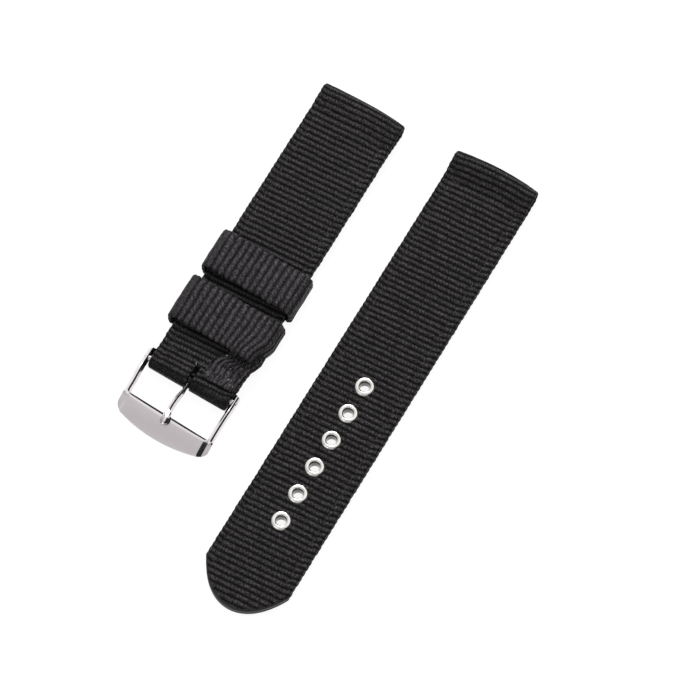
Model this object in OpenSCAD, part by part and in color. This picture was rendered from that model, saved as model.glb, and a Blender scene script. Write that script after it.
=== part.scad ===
// Two-piece nylon watch strap: a buckle half with two keepers beside a tail half with eyelets.
// X runs along both halves toward their lug ends, +Y toward the buckle half, +Z up.
// The origin is the bottom centre of the pair as it lies flat.

/* [Webbing] */
// Strap width, which is also the lug width of the watch
strap_w = 20; // [18:0.5:24]
// Thickness of one layer of webbing
webbing_t = 1.15; // [0.9:0.05:1.4]
// Length of the buckle half from its lug end to the fold round the spring bar
buckle_half_len = 76.7; // [68:0.5:90]
// Length of the tail half from its lug end to the rounded tip
tail_len = 115.8; // [108:0.5:135]
// How far the rounded tip reaches past its two corners
tip_bow = 8; // [5:0.1:9]
// Share of that bow that turns steeply, close to the two corners
tip_shoulder = 0.2; // [0:0.05:0.3]
// Space between the two halves as they lie side by side
halves_gap = 12.6; // [6:0.5:30]
// How much farther back the buckle half's lug end lies
halves_offset = 0.9; // [0:0.1:4]

/* [Lug tunnels] */
// Radius of the tunnel for the watch's own spring bar
tunnel_r = 1; // [0.85:0.05:1.2]
// Distance from a tunnel's axis to where its two layers lie flat on each other
tunnel_flank = 4.6; // [4:0.1:6]

/* [Eyelets] */
// Distance from the lug end to the first eyelet
eyelet_first = 58.4; // [50:0.1:62]
// Distance from one eyelet to the next
eyelet_pitch = 7.05; // [6:0.05:8]
// Radius of the hole for the tongue
eyelet_throat_r = 1.05; // [0.95:0.05:1.2]
// Wall of the eyelet's barrel
eyelet_wall = 0.22; // [0.15:0.01:0.3]
// How far the eyelet's rim reaches past its barrel
eyelet_rim = 0.98; // [0.6:0.02:1.2]
// Height of the rim above the webbing
eyelet_crown = 0.45; // [0.3:0.05:0.6]
// How deep the rim presses into the webbing
eyelet_sink = 0.15; // [0.1:0.05:0.3]
// Thickness of the washer on the underside
washer_t = 0.22; // [0.15:0.01:0.3]

/* [Buckle frame] */
// Thickness of the plate that the frame is stamped from
frame_t = 1.3; // [1:0.05:1.6]
// Width of each side arm
arm_w = 0.95; // [0.9:0.05:1.4]
// Gap between an arm and the strap's edge
arm_gap = 0.3; // [0.25:0.05:0.6]
// Distance from the pivot to the crossbar's inner edge
window_reach = 9.6; // [9:0.1:12]
// Width of the crescent crossbar at its middle
crossbar_w = 5.4; // [4.5:0.1:6]
// How much narrower the crossbar is at its ends
crossbar_bow = 2.5; // [1.5:0.1:3]
// Radius of the frame's two outer corners
frame_corner_r = 2.2; // [1.4:0.1:3]
// Radius of the window's two corners
window_corner_r = 0.6; // [0.3:0.1:1]
// Radius of the arch that the frame is bent to
arch_r = 22; // [18:1:40]
// Distance from the pivot to the highest point of the arch
arch_crest = 5.7; // [5:0.1:6.5]
// Radius of the eye at the back of each arm
eye_r = 1.6; // [1.4:0.05:1.8]
// Bevel along the crossbar's inner edge
inner_bevel = 0.35; // [0.2:0.05:0.5]

/* [Tongue] */
// Radius of the tongue's wire
tongue_r = 0.65; // [0.55:0.05:0.75]
// Radial thickness of the curl round the spring bar
curl_t = 0.65; // [0.5:0.05:0.8]
// How much the flattened head spreads to each side
head_spread = 0.22; // [0.1:0.02:0.3]
// Length of the head from the crossbar's inner edge to the tip
head_len = 2.1; // [1.8:0.1:3.5]
// How deep the tongue lies in its seat on the crossbar
seat_depth = 0.3; // [0.2:0.05:0.4]
// How far past the crossbar's inner edge the tongue bends down
bend_past = 0.3; // [0.2:0.05:0.5]
// How much the long edges of the head are rounded off
head_round = 0.1; // [0.05:0.01:0.15]
// Length of the slot in the fold behind the tongue's curl
slot_room = 1.6; // [1.3:0.1:2]

/* [Spring bar] */
// Outer radius of the tube
tube_r = 0.9; // [0.8:0.05:1]
// Bore of the tube
tube_bore_r = 0.66; // [0.6:0.02:0.7]
// Radius of the plungers' tips
tip_r = 0.5; // [0.4:0.05:0.55]
// Depth of the hole for a tip in each arm
tip_hole = 0.75; // [0.65:0.05:0.8]
// Radius of the plungers' shoulders
shoulder_r = 0.78; // [0.6:0.02:0.85]
// Thickness of the plungers' shoulders
shoulder_t = 0.6; // [0.4:0.05:0.8]
// Radius of the plungers' necks
neck_r = 0.42; // [0.35:0.01:0.44]
// Length of the collar that keeps a plunger in the tube
collar_len = 1.5; // [1:0.1:2]
// How far a plunger can be pressed in
plunger_travel = 0.75; // [0.7:0.05:0.9]
// Length of the crimp at each mouth of the tube
crimp_len = 0.4; // [0.3:0.05:0.5]
// Radius of the spring's wire
spring_wire_r = 0.1; // [0.08:0.01:0.12]
// Radius of the spring's coils, to the middle of the wire
spring_coil_r = 0.44; // [0.38:0.01:0.46]
// Number of turns in the spring
spring_turns = 16; // [10:1:18]

/* [Keepers] */
// Thickness of the keepers' webbing
keeper_t = 0.9; // [0.7:0.05:1]
// Height of the keepers' bridge above the strap
keeper_room = 2; // [1.8:0.1:4]
// Radius of the keepers' upper corners, on the outside
keeper_corner_r = 2.4; // [1.6:0.1:2.9]
// Radius of the keepers' lower corners, on the inside
keeper_foot_r = 0.6; // [0.4:0.05:0.7]
// Width along the strap of the sewn keeper
fixed_keeper_len = 10.9; // [8:0.1:12]
// Distance from the fold to the sewn keeper
fixed_keeper_back = 11; // [10:0.1:13]
// Gap from the strap's edge to the sewn keeper's inner side
fixed_keeper_side = 0.9; // [0.5:0.1:1.2]
// Width along the strap of the sliding keeper
free_keeper_len = 10.1; // [8:0.1:12]
// Gap between the two keepers
keepers_gap = 2.3; // [2:0.1:8]
// Gap from the strap's edge to the sliding keeper's inner side
free_keeper_side = 0.5; // [0.4:0.1:1.2]
// Gap under the strap for the sliding keeper
free_keeper_gap = 0.1; // [0.1:0.05:0.3]
// Thickness of the sewn keeper's end tab
tab_t = 0.8; // [0.5:0.05:1]
// Distance from the strap's middle to the tab's inner edge
tab_inner = 1.9; // [1.6:0.1:4]
// Width of the strap's edge that the tab leaves bare
tab_edge = 0.5; // [0.3:0.1:1]
// How much the tab narrows toward the keeper
tab_taper = 2.2; // [1:0.1:3]
// Length of the tab's cut corner
tab_corner = 1.4; // [0.8:0.1:1.8]
// Width of each bar of tack stitches
tack_w = 1.4; // [1:0.1:1.6]
// Distance from one bar of tack stitches to the next
tack_pitch = 2.1; // [1.8:0.1:2.4]
// Distance from the keeper to the middle of the first bar of tack stitches
tack_back = 0.9; // [0.8:0.1:1.2]

/* [Stitching] */
// Distance of the edge seams from the strap's edge
seam_inset = 2; // [1.6:0.1:3]
// Length of one stitch
stitch_len = 2.4; // [1.8:0.1:3]
// Distance from one stitch to the next
stitch_pitch = 3.4; // [3.2:0.1:4.5]
// Width of the thread
thread_w = 0.4; // [0.3:0.05:0.6]
// Thickness of the thread where it shows
thread_t = 0.25; // [0.15:0.05:0.3]
// Distance from the flat layers' start to the seam across a lug end
lug_seam_gap = 0.6; // [0.5:0.1:1.5]
// Distance from the tongue's slot to the seam across the fold
fold_seam_gap = 1; // [0.8:0.1:1.5]
// Bare length between an edge seam's end and the seam across the strap
seam_end_gap = 0.8; // [0.6:0.1:1.5]

/* [Hidden] */
eyelet_count = 6;

// Clearances
// Hair of clearance between sewn or riveted pieces
seat = 0.02;
// Running clearance of the tongue on the tube and of the tips in the arms
run = 0.06;
// Room round the tongue in the webbing's slot, to each side
slot_side = 0.2;
// Play of the plungers at both ends of their travel, and of the fold round the tube
play = 0.05;
// How deep the stitches lie below the webbing's face
stitch_sink = 0.05;
// Height of the eyelets' lips above the surface that the strap lies on
lip_clear = 0.05;
// Rounding of the eyelets' mouths and lips
lip_round = 0.12;
// Length that cutting shapes run past the material
over = 1;
// Steps in the curve of a folded loop
loop_steps = 24;
// Steps in the curve of the tip, to each side
tip_steps = 12;

// Colours
webbing_colour = "#26262a";
keeper_colour = "#2b2b2f";
thread_colour = "#1b1b1e";
steel_colour = "#cfd0d4";

// Heights and lengths worked out from the driving sizes
loop_r = tunnel_r + webbing_t;
fold_bore_r = tube_r + play;
fold_r = fold_bore_r + webbing_t;
arch_z = -sqrt(arch_r * arch_r - arch_crest * arch_crest);
nose_drop = -arch_z - sqrt(pow(arch_r - frame_t / 2, 2) - pow(window_reach + crossbar_w - arch_crest, 2));
strap_z = max(loop_r, fold_r, webbing_t + keeper_t + free_keeper_gap, eye_r, nose_drop);
strap_top = strap_z + webbing_t;
strap_bottom = strap_z - webbing_t;
buckle_lug_x = -loop_r;
pivot_x = -(buckle_half_len - fold_r);
tail_top = 2 * webbing_t;
half_w = strap_w / 2;
tip_arc_r = (half_w * half_w + tip_bow * tip_bow) / (2 * tip_bow);

// Frame and spring bar, measured from the pivot
arm_inner = half_w + arm_gap;
arm_outer = arm_inner + arm_w;
frame_reach = window_reach + crossbar_w;
crescent_r = (arm_outer * arm_outer + crossbar_bow * crossbar_bow) / (2 * crossbar_bow);
crescent_x = crescent_r - frame_reach;
shoulder_y = arm_inner - play;
shoulder_in_y = shoulder_y - shoulder_t;
tube_half = shoulder_in_y - plunger_travel - play;
collar_y = tube_half - crimp_len - seat;
spring_half = collar_y - collar_len - seat;
tongue_bore_r = tube_r + run;
curl_r = tongue_bore_r + curl_t;
head_half = tongue_r + head_spread;
slot_half = head_half + slot_side;
slot_back = curl_r + slot_room;

// Keepers, measured along the buckle half
fixed_keeper_x = -buckle_half_len + fixed_keeper_back;
free_keeper_x = fixed_keeper_x + fixed_keeper_len + keepers_gap;

// Tab of the sewn keeper and the seams
groove_depth = thread_t + stitch_sink;
tab_front = pivot_x + slot_half;
tab_back = fixed_keeper_x + fixed_keeper_len / 2;
fold_seam_x = pivot_x + slot_back + fold_seam_gap;
lug_seam_x = -(loop_r + tunnel_flank + lug_seam_gap);
seam_y = half_w - seam_inset;

// Bottom centre of the pair
keeper_half_w = max(half_w + fixed_keeper_side, half_w + free_keeper_side) + keeper_t;
buckle_y = strap_w + halves_gap;
pair_mid_x = -tail_len / 2;
pair_mid_y = (buckle_y + max(keeper_half_w, arm_outer) - half_w) / 2;

// Places the children on the buckle half, whose lug end is at their x = 0
module on_buckle_half() {
    translate([-pair_mid_x - halves_offset, buckle_y - pair_mid_y, 0]) children();
}

// Places the children on the tail half, whose lug end is at their x = 0
module on_tail_half() {
    translate([-pair_mid_x, -pair_mid_y, 0]) children();
}

// Places the children at the buckle's pivot
module at_pivot() {
    on_buckle_half() translate([pivot_x, 0, strap_z]) children();
}

// Extrudes a side view, drawn as [x, z], across the strap from -half to +half in y
module across(half) {
    rotate([90, 0, 0]) translate([0, 0, -half]) linear_extrude(2 * half) children();
}

// Cylinder along y from y0 to y1
module shaft(r, y0, y1) {
    translate([0, y0, 0]) rotate([-90, 0, 0]) cylinder(r = r, h = y1 - y0, $fn = 24);
}

// Round bar between two points of the xz plane
module bar(a, b, r) {
    course = b - a;
    translate([a[0], 0, a[1]]) rotate([0, atan2(course[0], course[1]), 0])
        cylinder(r = r, h = norm(course), $fn = 20);
}

// Side view of a flat bar with round ends between two points, 2 * r thick
module bar_side(a, b, r) {
    lean = atan2(b[1] - a[1], b[0] - a[0]);
    polygon(concat(arc_points(a, r, lean + 90, lean + 270, 10), arc_points(b, r, lean - 90, lean + 90, 10)));
}

// Points along an arc round a centre, from one angle to another
function arc_points(centre, r, from, to, steps) =
    [for (i = [0 : steps]) let (a = from + (to - from) * i / steps) centre + r * [cos(a), sin(a)]];

// Angle at which the tangent from a point at [d, h] touches a circle of radius r round the origin
function tangent_angle(d, h, r) = atan2(h, d) + acos(r / norm([d, h]));

// Side view of a loop of webbing, from its upper flank round to its lower one.
// The strap lies toward -x of the loop and its faces are high and low above the loop's axis.
function loop_points(centre, r, high, low) =
    arc_points(centre, r, 180 - tangent_angle(tunnel_flank, high, r),
               tangent_angle(tunnel_flank, -low, r) - 180, loop_steps);

// The same list of points for a loop whose strap lies toward +x, from its lower flank to its upper
function fold_points(centre, r, high, low) =
    [for (i = [loop_steps : -1 : 0]) let (p = loop_points([0, 0], r, high, low)[i]) centre + [-p[0], p[1]]];

// Side view of the buckle half's webbing, folded at both ends
module buckle_webbing_side() {
    polygon(concat(
        [[buckle_lug_x - tunnel_flank, strap_top]],
        loop_points([buckle_lug_x, strap_z], loop_r, webbing_t, -webbing_t),
        [[buckle_lug_x - tunnel_flank, strap_bottom], [pivot_x + tunnel_flank, strap_bottom]],
        fold_points([pivot_x, strap_z], fold_r, webbing_t, -webbing_t),
        [[pivot_x + tunnel_flank, strap_top]]
    ));
}

// Plan of the tail half, with its rounded tip
function tip_x(y) =
    -tail_len + tip_bow * ((1 - tip_shoulder) * pow(y / half_w, 2) + tip_shoulder * pow(y / half_w, 4));
module tail_plan() {
    polygon(concat(
        [for (i = [-tip_steps : tip_steps]) let (y = -half_w * i / tip_steps) [tip_x(y), y]],
        [[0, -half_w], [0, half_w]]
    ));
}

// Side view of the tail half's webbing, which lies flat on its lower layer
module tail_webbing_side() {
    polygon(concat(
        [[-loop_r - tunnel_flank, tail_top]],
        loop_points([-loop_r, loop_r], loop_r, tail_top - loop_r, -loop_r),
        [[-tail_len, 0], [-tail_len, tail_top]]
    ));
}

// Number of stitches that fit on a straight run
function stitch_count(length) = floor((length - stitch_len) / stitch_pitch) + 1;

// Row of stitches along +x from the origin on a face at z, face = 1 for the top and -1 below
module stitch_row(length, z, face) {
    count = stitch_count(length);
    start = (length - (count - 1) * stitch_pitch) / 2;
    for (i = [0 : count - 1])
        translate([start + i * stitch_pitch, 0, z - face * (groove_depth - thread_t / 2 - seat)])
            cube([stitch_len, thread_w, thread_t], center = true);
}

// Groove under such a row
module stitch_groove(length, z) {
    translate([length / 2, 0, z])
        cube([length + 2 * seat, thread_w + 2 * seat, 2 * groove_depth], center = true);
}

// The edge seams of the buckle half, on the stretches that the keepers leave free
buckle_seam_from = fold_seam_x + seam_end_gap;
buckle_seam_to = lug_seam_x - seam_end_gap;
module on_buckle_edge_seams() {
    for (side = [-1, 1])
        translate([buckle_seam_from, side * seam_y, 0]) children();
}

// Straight part of the tail half's edge seams
tip_seam_r = tip_arc_r - seam_inset;
tip_centre_x = -tail_len + tip_arc_r;
tip_seam_half = asin(seam_y / tip_seam_r);
tail_seam_from = tip_centre_x - sqrt(tip_seam_r * tip_seam_r - seam_y * seam_y) + seam_end_gap;
tail_seam_to = lug_seam_x - seam_end_gap;
module on_tail_edge_seams() {
    for (side = [-1, 1])
        translate([tail_seam_from, side * seam_y, 0]) children();
}

// Stitches along the rounded tip
module tip_stitches(z, face) {
    arc_len = 2 * tip_seam_half * PI / 180 * tip_seam_r;
    count = floor(arc_len / stitch_pitch);
    step = 2 * tip_seam_half / count;
    for (i = [0 : count - 1])
        translate([tip_centre_x, 0, z - face * (groove_depth - thread_t / 2 - seat)])
            rotate([0, 0, 180 - tip_seam_half + (i + 0.5) * step])
                translate([tip_seam_r, 0, 0])
                    cube([thread_w, stitch_len, thread_t], center = true);
}

// Groove under the tip's stitches, with a width that lets a straight stitch follow the arc
module tip_groove(z) {
    sag = tip_seam_r - sqrt(tip_seam_r * tip_seam_r - stitch_len * stitch_len / 4);
    translate([tip_centre_x, 0, z - groove_depth])
        rotate([0, 0, 180 - tip_seam_half])
            rotate_extrude(angle = 2 * tip_seam_half, $fn = 72)
                translate([tip_seam_r - thread_w / 2 - seat, 0])
                    square([thread_w + sag + 2 * seat, 2 * groove_depth]);
}

// Seam across the strap, its stitches along y
module cross_seam(x, z, face) {
    translate([x, -seam_y, 0]) rotate([0, 0, 90]) stitch_row(2 * seam_y, z, face);
}

module cross_groove(x, z) {
    translate([x, -seam_y, 0]) rotate([0, 0, 90]) stitch_groove(2 * seam_y, z);
}

module buckle_webbing() {
    color(webbing_colour) on_buckle_half() difference() {
        across(half_w) buckle_webbing_side();
        // Tunnels for the watch's spring bar and for the buckle's
        translate([buckle_lug_x, 0, strap_z]) shaft(tunnel_r, -half_w - over, half_w + over);
        translate([pivot_x, 0, strap_z]) shaft(fold_bore_r, -half_w - over, half_w + over);
        // Slot for the tongue, cut before the webbing is folded
        translate([pivot_x - fold_r - over, -slot_half, -over])
            cube([fold_r + over + slot_back - slot_half, 2 * slot_half, strap_top + fold_r + over]);
        translate([pivot_x + slot_back - slot_half, 0, -over])
            cylinder(r = slot_half, h = strap_top + fold_r + over, $fn = 24);
        for (z = [strap_top, strap_bottom]) {
            on_buckle_edge_seams() stitch_groove(buckle_seam_to - buckle_seam_from, z);
            cross_groove(lug_seam_x, z);
            cross_groove(fold_seam_x, z);
        }
    }
}

module buckle_edge_stitching() {
    color(thread_colour) on_buckle_half() {
        on_buckle_edge_seams() stitch_row(buckle_seam_to - buckle_seam_from, strap_top, 1);
        on_buckle_edge_seams() stitch_row(buckle_seam_to - buckle_seam_from, strap_bottom, -1);
    }
}

module buckle_lug_seam() {
    color(thread_colour) on_buckle_half() {
        cross_seam(lug_seam_x, strap_top, 1);
        cross_seam(lug_seam_x, strap_bottom, -1);
    }
}

module fold_seam() {
    color(thread_colour) on_buckle_half() {
        cross_seam(fold_seam_x, strap_top, 1);
        cross_seam(fold_seam_x, strap_bottom, -1);
    }
}

// Side view, drawn as [y, z], of a keeper's band round the strap
module keeper_ring_side(half_inside, low, high, t) {
    difference() {
        rounded_box_side(half_inside + t, low - t, high + t, keeper_corner_r, keeper_foot_r + t);
        rounded_box_side(half_inside, low, high, keeper_corner_r - t, keeper_foot_r);
    }
}

// Rectangle with round corners, from -half to half and from low to high
module rounded_box_side(half, low, high, top_r, foot_r) {
    polygon([
        for (corner = [[1, 1, 0], [-1, 1, 90], [-1, -1, 180], [1, -1, 270]])
            let (r = corner[1] > 0 ? top_r : foot_r)
            each arc_points([corner[0] * (half - r), corner[1] > 0 ? high - r : low + r],
                            r, corner[2], corner[2] + 90, 8)
    ]);
}

// Extrudes a front view, drawn as [y, z], along the strap from x = 0 to length
module along(length) {
    rotate([90, 0, 90]) linear_extrude(length) children();
}

// End of the sewn keeper's ribbon, lying on the strap and turned toward the fold
module keeper_tab() {
    difference() {
        intersection() {
            across(half_w) polygon([
                [tab_back, strap_top], [tab_back, strap_top + tab_t],
                [pivot_x + tunnel_flank, strap_top + tab_t],
                [tab_front, strap_z + fold_r + tab_t],
                [tab_front, strap_top]
            ]);
            linear_extrude(strap_top + fold_r + tab_t) polygon([
                [tab_front, -half_w + tab_edge], [tab_back, -half_w + tab_edge],
                [tab_back, -tab_inner - tab_taper], [fixed_keeper_x, -tab_inner - tab_taper],
                [tab_front + tab_corner, -tab_inner], [tab_front, -tab_inner - tab_corner / 2]
            ]);
        }
        across(half_w + over) translate([0, seat]) buckle_webbing_side();
    }
}

module fixed_keeper() {
    color(keeper_colour) on_buckle_half() {
        translate([fixed_keeper_x, 0, 0]) along(fixed_keeper_len)
            keeper_ring_side(half_w + fixed_keeper_side, strap_bottom - seat,
                             strap_top + keeper_room, keeper_t);
        keeper_tab();
        // Ribbon from the tab's edge into the band's near side
        translate([fixed_keeper_x, -half_w - fixed_keeper_side - keeper_t / 2, strap_top + seat])
            cube([tab_back - fixed_keeper_x, fixed_keeper_side + tab_edge + keeper_t, tab_t - seat]);
    }
}

// Two bars of tack stitches that hold the tab on the strap
module keeper_bartack() {
    from_y = -half_w + tab_edge + thread_w;
    to_y = -tab_inner - tab_taper - 2 * thread_w;
    color(thread_colour) on_buckle_half()
        for (x = [fixed_keeper_x - tack_back, fixed_keeper_x - tack_back - tack_pitch])
            for (y = [from_y : 2 * thread_w : to_y])
                translate([x - tack_w / 2, y, strap_top + tab_t + seat])
                    cube([tack_w, thread_w, thread_t]);
}

module free_keeper() {
    color(keeper_colour) on_buckle_half()
        translate([free_keeper_x, 0, 0]) along(free_keeper_len)
            keeper_ring_side(half_w + free_keeper_side, strap_bottom - free_keeper_gap,
                             strap_top + keeper_room, keeper_t);
}

// Centre of the circle that rounds an outer corner, inside the crescent and the arm
corner_x = crescent_x - sqrt(pow(crescent_r - frame_corner_r, 2) - pow(arm_outer - frame_corner_r, 2));
corner_y = arm_outer - frame_corner_r;

// Plan of the frame: two arms and a crescent crossbar round an open window
module frame_plan() {
    corner_turn = asin(corner_y / (crescent_r - frame_corner_r));
    // The corner arcs start one step late, so that no point comes twice
    corner_step = (90 - corner_turn) / 7;
    window_half = arm_inner - window_corner_r;
    window_x = -window_reach + window_corner_r;
    polygon(concat(
        arc_points([crescent_x, 0], crescent_r, 180 - corner_turn, 180 + corner_turn, 24),
        arc_points([corner_x, -corner_y], frame_corner_r, 180 + corner_turn + corner_step, 270, 6),
        [[eye_r, -arm_outer], [eye_r, -arm_inner]],
        arc_points([window_x, -window_half], window_corner_r, 270, 180, 6),
        arc_points([window_x, window_half], window_corner_r, 180, 90, 6),
        [[eye_r, arm_inner], [eye_r, arm_outer]],
        arc_points([corner_x, corner_y], frame_corner_r, 90, 180 - corner_turn - corner_step, 6)
    ));
}

// Side view of the frame: an arched bar with an eye at the pivot
module frame_side() {
    difference() {
        translate([-arch_crest, arch_z]) circle(r = arch_r + frame_t / 2, $fn = 128);
        translate([-arch_crest, arch_z]) circle(r = arch_r - frame_t / 2, $fn = 128);
        translate([0, -2 * arch_r]) square([2 * arch_r, 4 * arch_r]);
        translate([-2 * arch_r, -3 * arch_r]) square([4 * arch_r, 3 * arch_r - eye_r]);
    }
    circle(r = eye_r, $fn = 32);
}

// Height of the crossbar's upper face at a distance in front of the pivot
function crossbar_top(x) =
    arch_z + sqrt((arch_r + frame_t / 2) * (arch_r + frame_t / 2) - (x - arch_crest) * (x - arch_crest));

// Course of the tongue in the xz plane: top of the curl, bend over the crossbar, tip
tongue_start = [0, curl_r - tongue_r];
tongue_bend = [-window_reach - bend_past,
               crossbar_top(window_reach + bend_past) + tongue_r - seat_depth];
tongue_tip_x = window_reach + head_len - tongue_r;
tongue_tip = [-tongue_tip_x, crossbar_top(tongue_tip_x) + tongue_r - seat_depth / 2];

// Flattened head of the tongue, its sides rounded off
module tongue_head() {
    course = tongue_tip - tongue_bend;
    ahead = tongue_r * course / norm(course);
    intersection() {
        across(head_half) bar_side(tongue_bend, tongue_tip, tongue_r);
        bar(tongue_bend - 2 * ahead, tongue_tip + 2 * ahead, norm([head_half, tongue_r]) - head_round);
    }
}

module buckle_frame() {
    color(steel_colour) at_pivot() difference() {
        intersection() {
            across(arm_outer) frame_side();
            translate([0, 0, -2 * eye_r]) linear_extrude(4 * eye_r) frame_plan();
        }
        // Blind holes for the spring bar's tips
        for (side = [0, 1])
            mirror([0, side, 0]) shaft(tip_r + run, arm_inner - over, arm_inner + tip_hole);
        // Bevel along the inner edge and the seat under the tongue
        translate([-window_reach, 0, crossbar_top(window_reach)]) rotate([0, 45, 0])
            cube([inner_bevel, 2 * (arm_inner - window_corner_r), inner_bevel], center = true);
        across(head_half + run) bar_side(tongue_bend, tongue_tip, tongue_r + run);
    }
}

module buckle_tongue() {
    color(steel_colour) at_pivot() difference() {
        union() {
            shaft(curl_r, -tongue_r, tongue_r);
            bar(tongue_start, tongue_bend, tongue_r);
            tongue_head();
        }
        shaft(tongue_bore_r, -tongue_r - over, tongue_r + over);
    }
}

module spring_bar_tube() {
    color(steel_colour) at_pivot() difference() {
        shaft(tube_r, -tube_half, tube_half);
        shaft(tube_bore_r, -tube_half + crimp_len, tube_half - crimp_len);
        shaft(neck_r + run, -tube_half - over, tube_half + over);
    }
}

// Sprung plunger at the +y end: collar, neck, shoulder and tip
module plunger() {
    shaft(tube_bore_r - run, spring_half + seat, collar_y);
    shaft(neck_r, collar_y, shoulder_in_y);
    shaft(shoulder_r, shoulder_in_y, shoulder_y);
    shaft(tip_r, shoulder_y, arm_inner + tip_hole - play);
}

module spring_bar_plunger_left() {
    color(steel_colour) at_pivot() plunger();
}

module spring_bar_plunger_right() {
    color(steel_colour) at_pivot() mirror([0, 1, 0]) plunger();
}

// Coil spring as one swept tube along y
spring_rings = 8;
spring_sides = 6;
spring_steps = spring_turns * spring_rings;
spring_start = -spring_half + spring_wire_r + seat;
spring_rise = -2 * spring_start / spring_steps;

function spring_point(i) =
    let (turn = 360 * i / spring_rings)
    [spring_coil_r * cos(turn), spring_start + i * spring_rise, spring_coil_r * sin(turn)];

function spring_ring_point(i, k) =
    let (turn = 360 * i / spring_rings, round = 360 * k / spring_sides,
         outward = [cos(turn), 0, sin(turn)])
    spring_point(i) + spring_wire_r * (cos(round) * outward + sin(round) * [0, 1, 0]);

// Least distance between the wire's surfaces on neighbouring turns
spring_gap = norm(spring_point(spring_rings) - spring_point(0)) - 2 * spring_wire_r;

module spring_bar_spring() {
    points = [for (i = [0 : spring_steps]) for (k = [0 : spring_sides - 1]) spring_ring_point(i, k)];
    last = spring_steps * spring_sides;
    walls = [for (i = [0 : spring_steps - 1]) for (k = [0 : spring_sides - 1])
        let (a = i * spring_sides + k, b = i * spring_sides + (k + 1) % spring_sides)
        each [[a, b, a + spring_sides], [b, b + spring_sides, a + spring_sides]]];
    first_cap = [for (k = [1 : spring_sides - 2]) [0, k + 1, k]];
    last_cap = [for (k = [1 : spring_sides - 2]) [last, last + k, last + k + 1]];
    echo(least_gap_between_spring_turns = spring_gap);
    color(steel_colour) at_pivot()
        polyhedron(points = points, faces = concat(walls, first_cap, last_cap));
}

// Eyelet positions along the tail half
function eyelet_x(i) = -eyelet_first - i * eyelet_pitch;
barrel_r = eyelet_throat_r + eyelet_wall;
rim_r = barrel_r + eyelet_rim;
mouth_r = barrel_r;
crown_r = (barrel_r + rim_r) / 2 - lip_round;
crown_fall = 2 * lip_round;
// Share of the rim's width that the lip on the underside has
lip_share = 0.4;

module tail_webbing() {
    color(webbing_colour) on_tail_half() difference() {
        intersection() {
            across(half_w) tail_webbing_side();
            translate([0, 0, -over]) linear_extrude(loop_r * 4) tail_plan();
        }
        translate([-loop_r, 0, loop_r]) shaft(tunnel_r, -half_w - over, half_w + over);
        // Punched holes with the recesses that the rims press into the webbing
        for (i = [0 : eyelet_count - 1]) translate([eyelet_x(i), 0, 0]) {
            translate([0, 0, -over]) cylinder(r = barrel_r + seat, h = tail_top + 2 * over, $fn = 20);
            translate([0, 0, -over])
                cylinder(r = rim_r + seat, h = over + 2 * washer_t + eyelet_sink, $fn = 20);
            translate([0, 0, tail_top - eyelet_sink])
                cylinder(r = rim_r + seat, h = over, $fn = 20);
        }
        for (z = [tail_top, 0]) {
            on_tail_edge_seams() stitch_groove(tail_seam_to - tail_seam_from, z);
            cross_groove(lug_seam_x, z);
            tip_groove(z);
        }
    }
}

module tail_edge_stitching() {
    color(thread_colour) on_tail_half() {
        for (face = [-1, 1]) {
            z = face > 0 ? tail_top : 0;
            on_tail_edge_seams() stitch_row(tail_seam_to - tail_seam_from, z, face);
            tip_stitches(z, face);
        }
    }
}

module tail_lug_seam() {
    color(thread_colour) on_tail_half() {
        cross_seam(lug_seam_x, tail_top, 1);
        cross_seam(lug_seam_x, 0, -1);
    }
}

// Eyelet: domed rim, funnel mouth, barrel and the lip rolled over the washer
module eyelet(i) {
    rim_z = tail_top - eyelet_sink;
    crown_z = tail_top + eyelet_crown;
    lip_z = lip_clear + washer_t;
    lip_r = barrel_r + eyelet_rim * lip_share;
    color(steel_colour) on_tail_half() translate([eyelet_x(i), 0, 0])
        rotate_extrude($fn = 20) polygon([
            [eyelet_throat_r, lip_clear + lip_round], [eyelet_throat_r, rim_z - eyelet_wall],
            [mouth_r, crown_z - lip_round], [crown_r, crown_z],
            [rim_r - crown_fall, crown_z - lip_round],
            [rim_r, tail_top + seat], [rim_r, rim_z + seat],
            [barrel_r, rim_z + seat], [barrel_r, lip_z],
            [lip_r, lip_z], [lip_r - seat, lip_clear], [barrel_r, lip_clear]
        ]);
}

// Washer between the webbing and the rolled lip
module eyelet_washer(i) {
    color(steel_colour) on_tail_half() translate([eyelet_x(i), 0, lip_clear + washer_t + seat])
        difference() {
            cylinder(r = rim_r, h = washer_t, $fn = 20);
            translate([0, 0, -over]) cylinder(r = barrel_r + seat, h = washer_t + 2 * over, $fn = 20);
        }
}

buckle_webbing();
buckle_edge_stitching();
buckle_lug_seam();
fold_seam();
fixed_keeper();
keeper_bartack();
free_keeper();
buckle_frame();
buckle_tongue();
spring_bar_tube();
spring_bar_spring();
spring_bar_plunger_left();
spring_bar_plunger_right();
tail_webbing();
tail_edge_stitching();
tail_lug_seam();
eyelet(0);  // eyelet_1
eyelet(1);  // eyelet_2
eyelet(2);  // eyelet_3
eyelet(3);  // eyelet_4
eyelet(4);  // eyelet_5
eyelet(5);  // eyelet_6
eyelet_washer(0);  // eyelet_washer_1
eyelet_washer(1);  // eyelet_washer_2
eyelet_washer(2);  // eyelet_washer_3
eyelet_washer(3);  // eyelet_washer_4
eyelet_washer(4);  // eyelet_washer_5
eyelet_washer(5);  // eyelet_washer_6
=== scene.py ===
# %% [markdown]
# # A nylon watch strap in two halves
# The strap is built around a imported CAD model, which holds every piece in its place. This lesson
# gives each piece the look of the real one: woven ribs, thread, polished steel. Lengths in the
# cells are in millimetres and are turned into metres as the last step of each shape.

# %% Load the frame
import math

import bmesh
import bpy
import numpy as np
from mathutils import Matrix, Vector, noise


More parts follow.
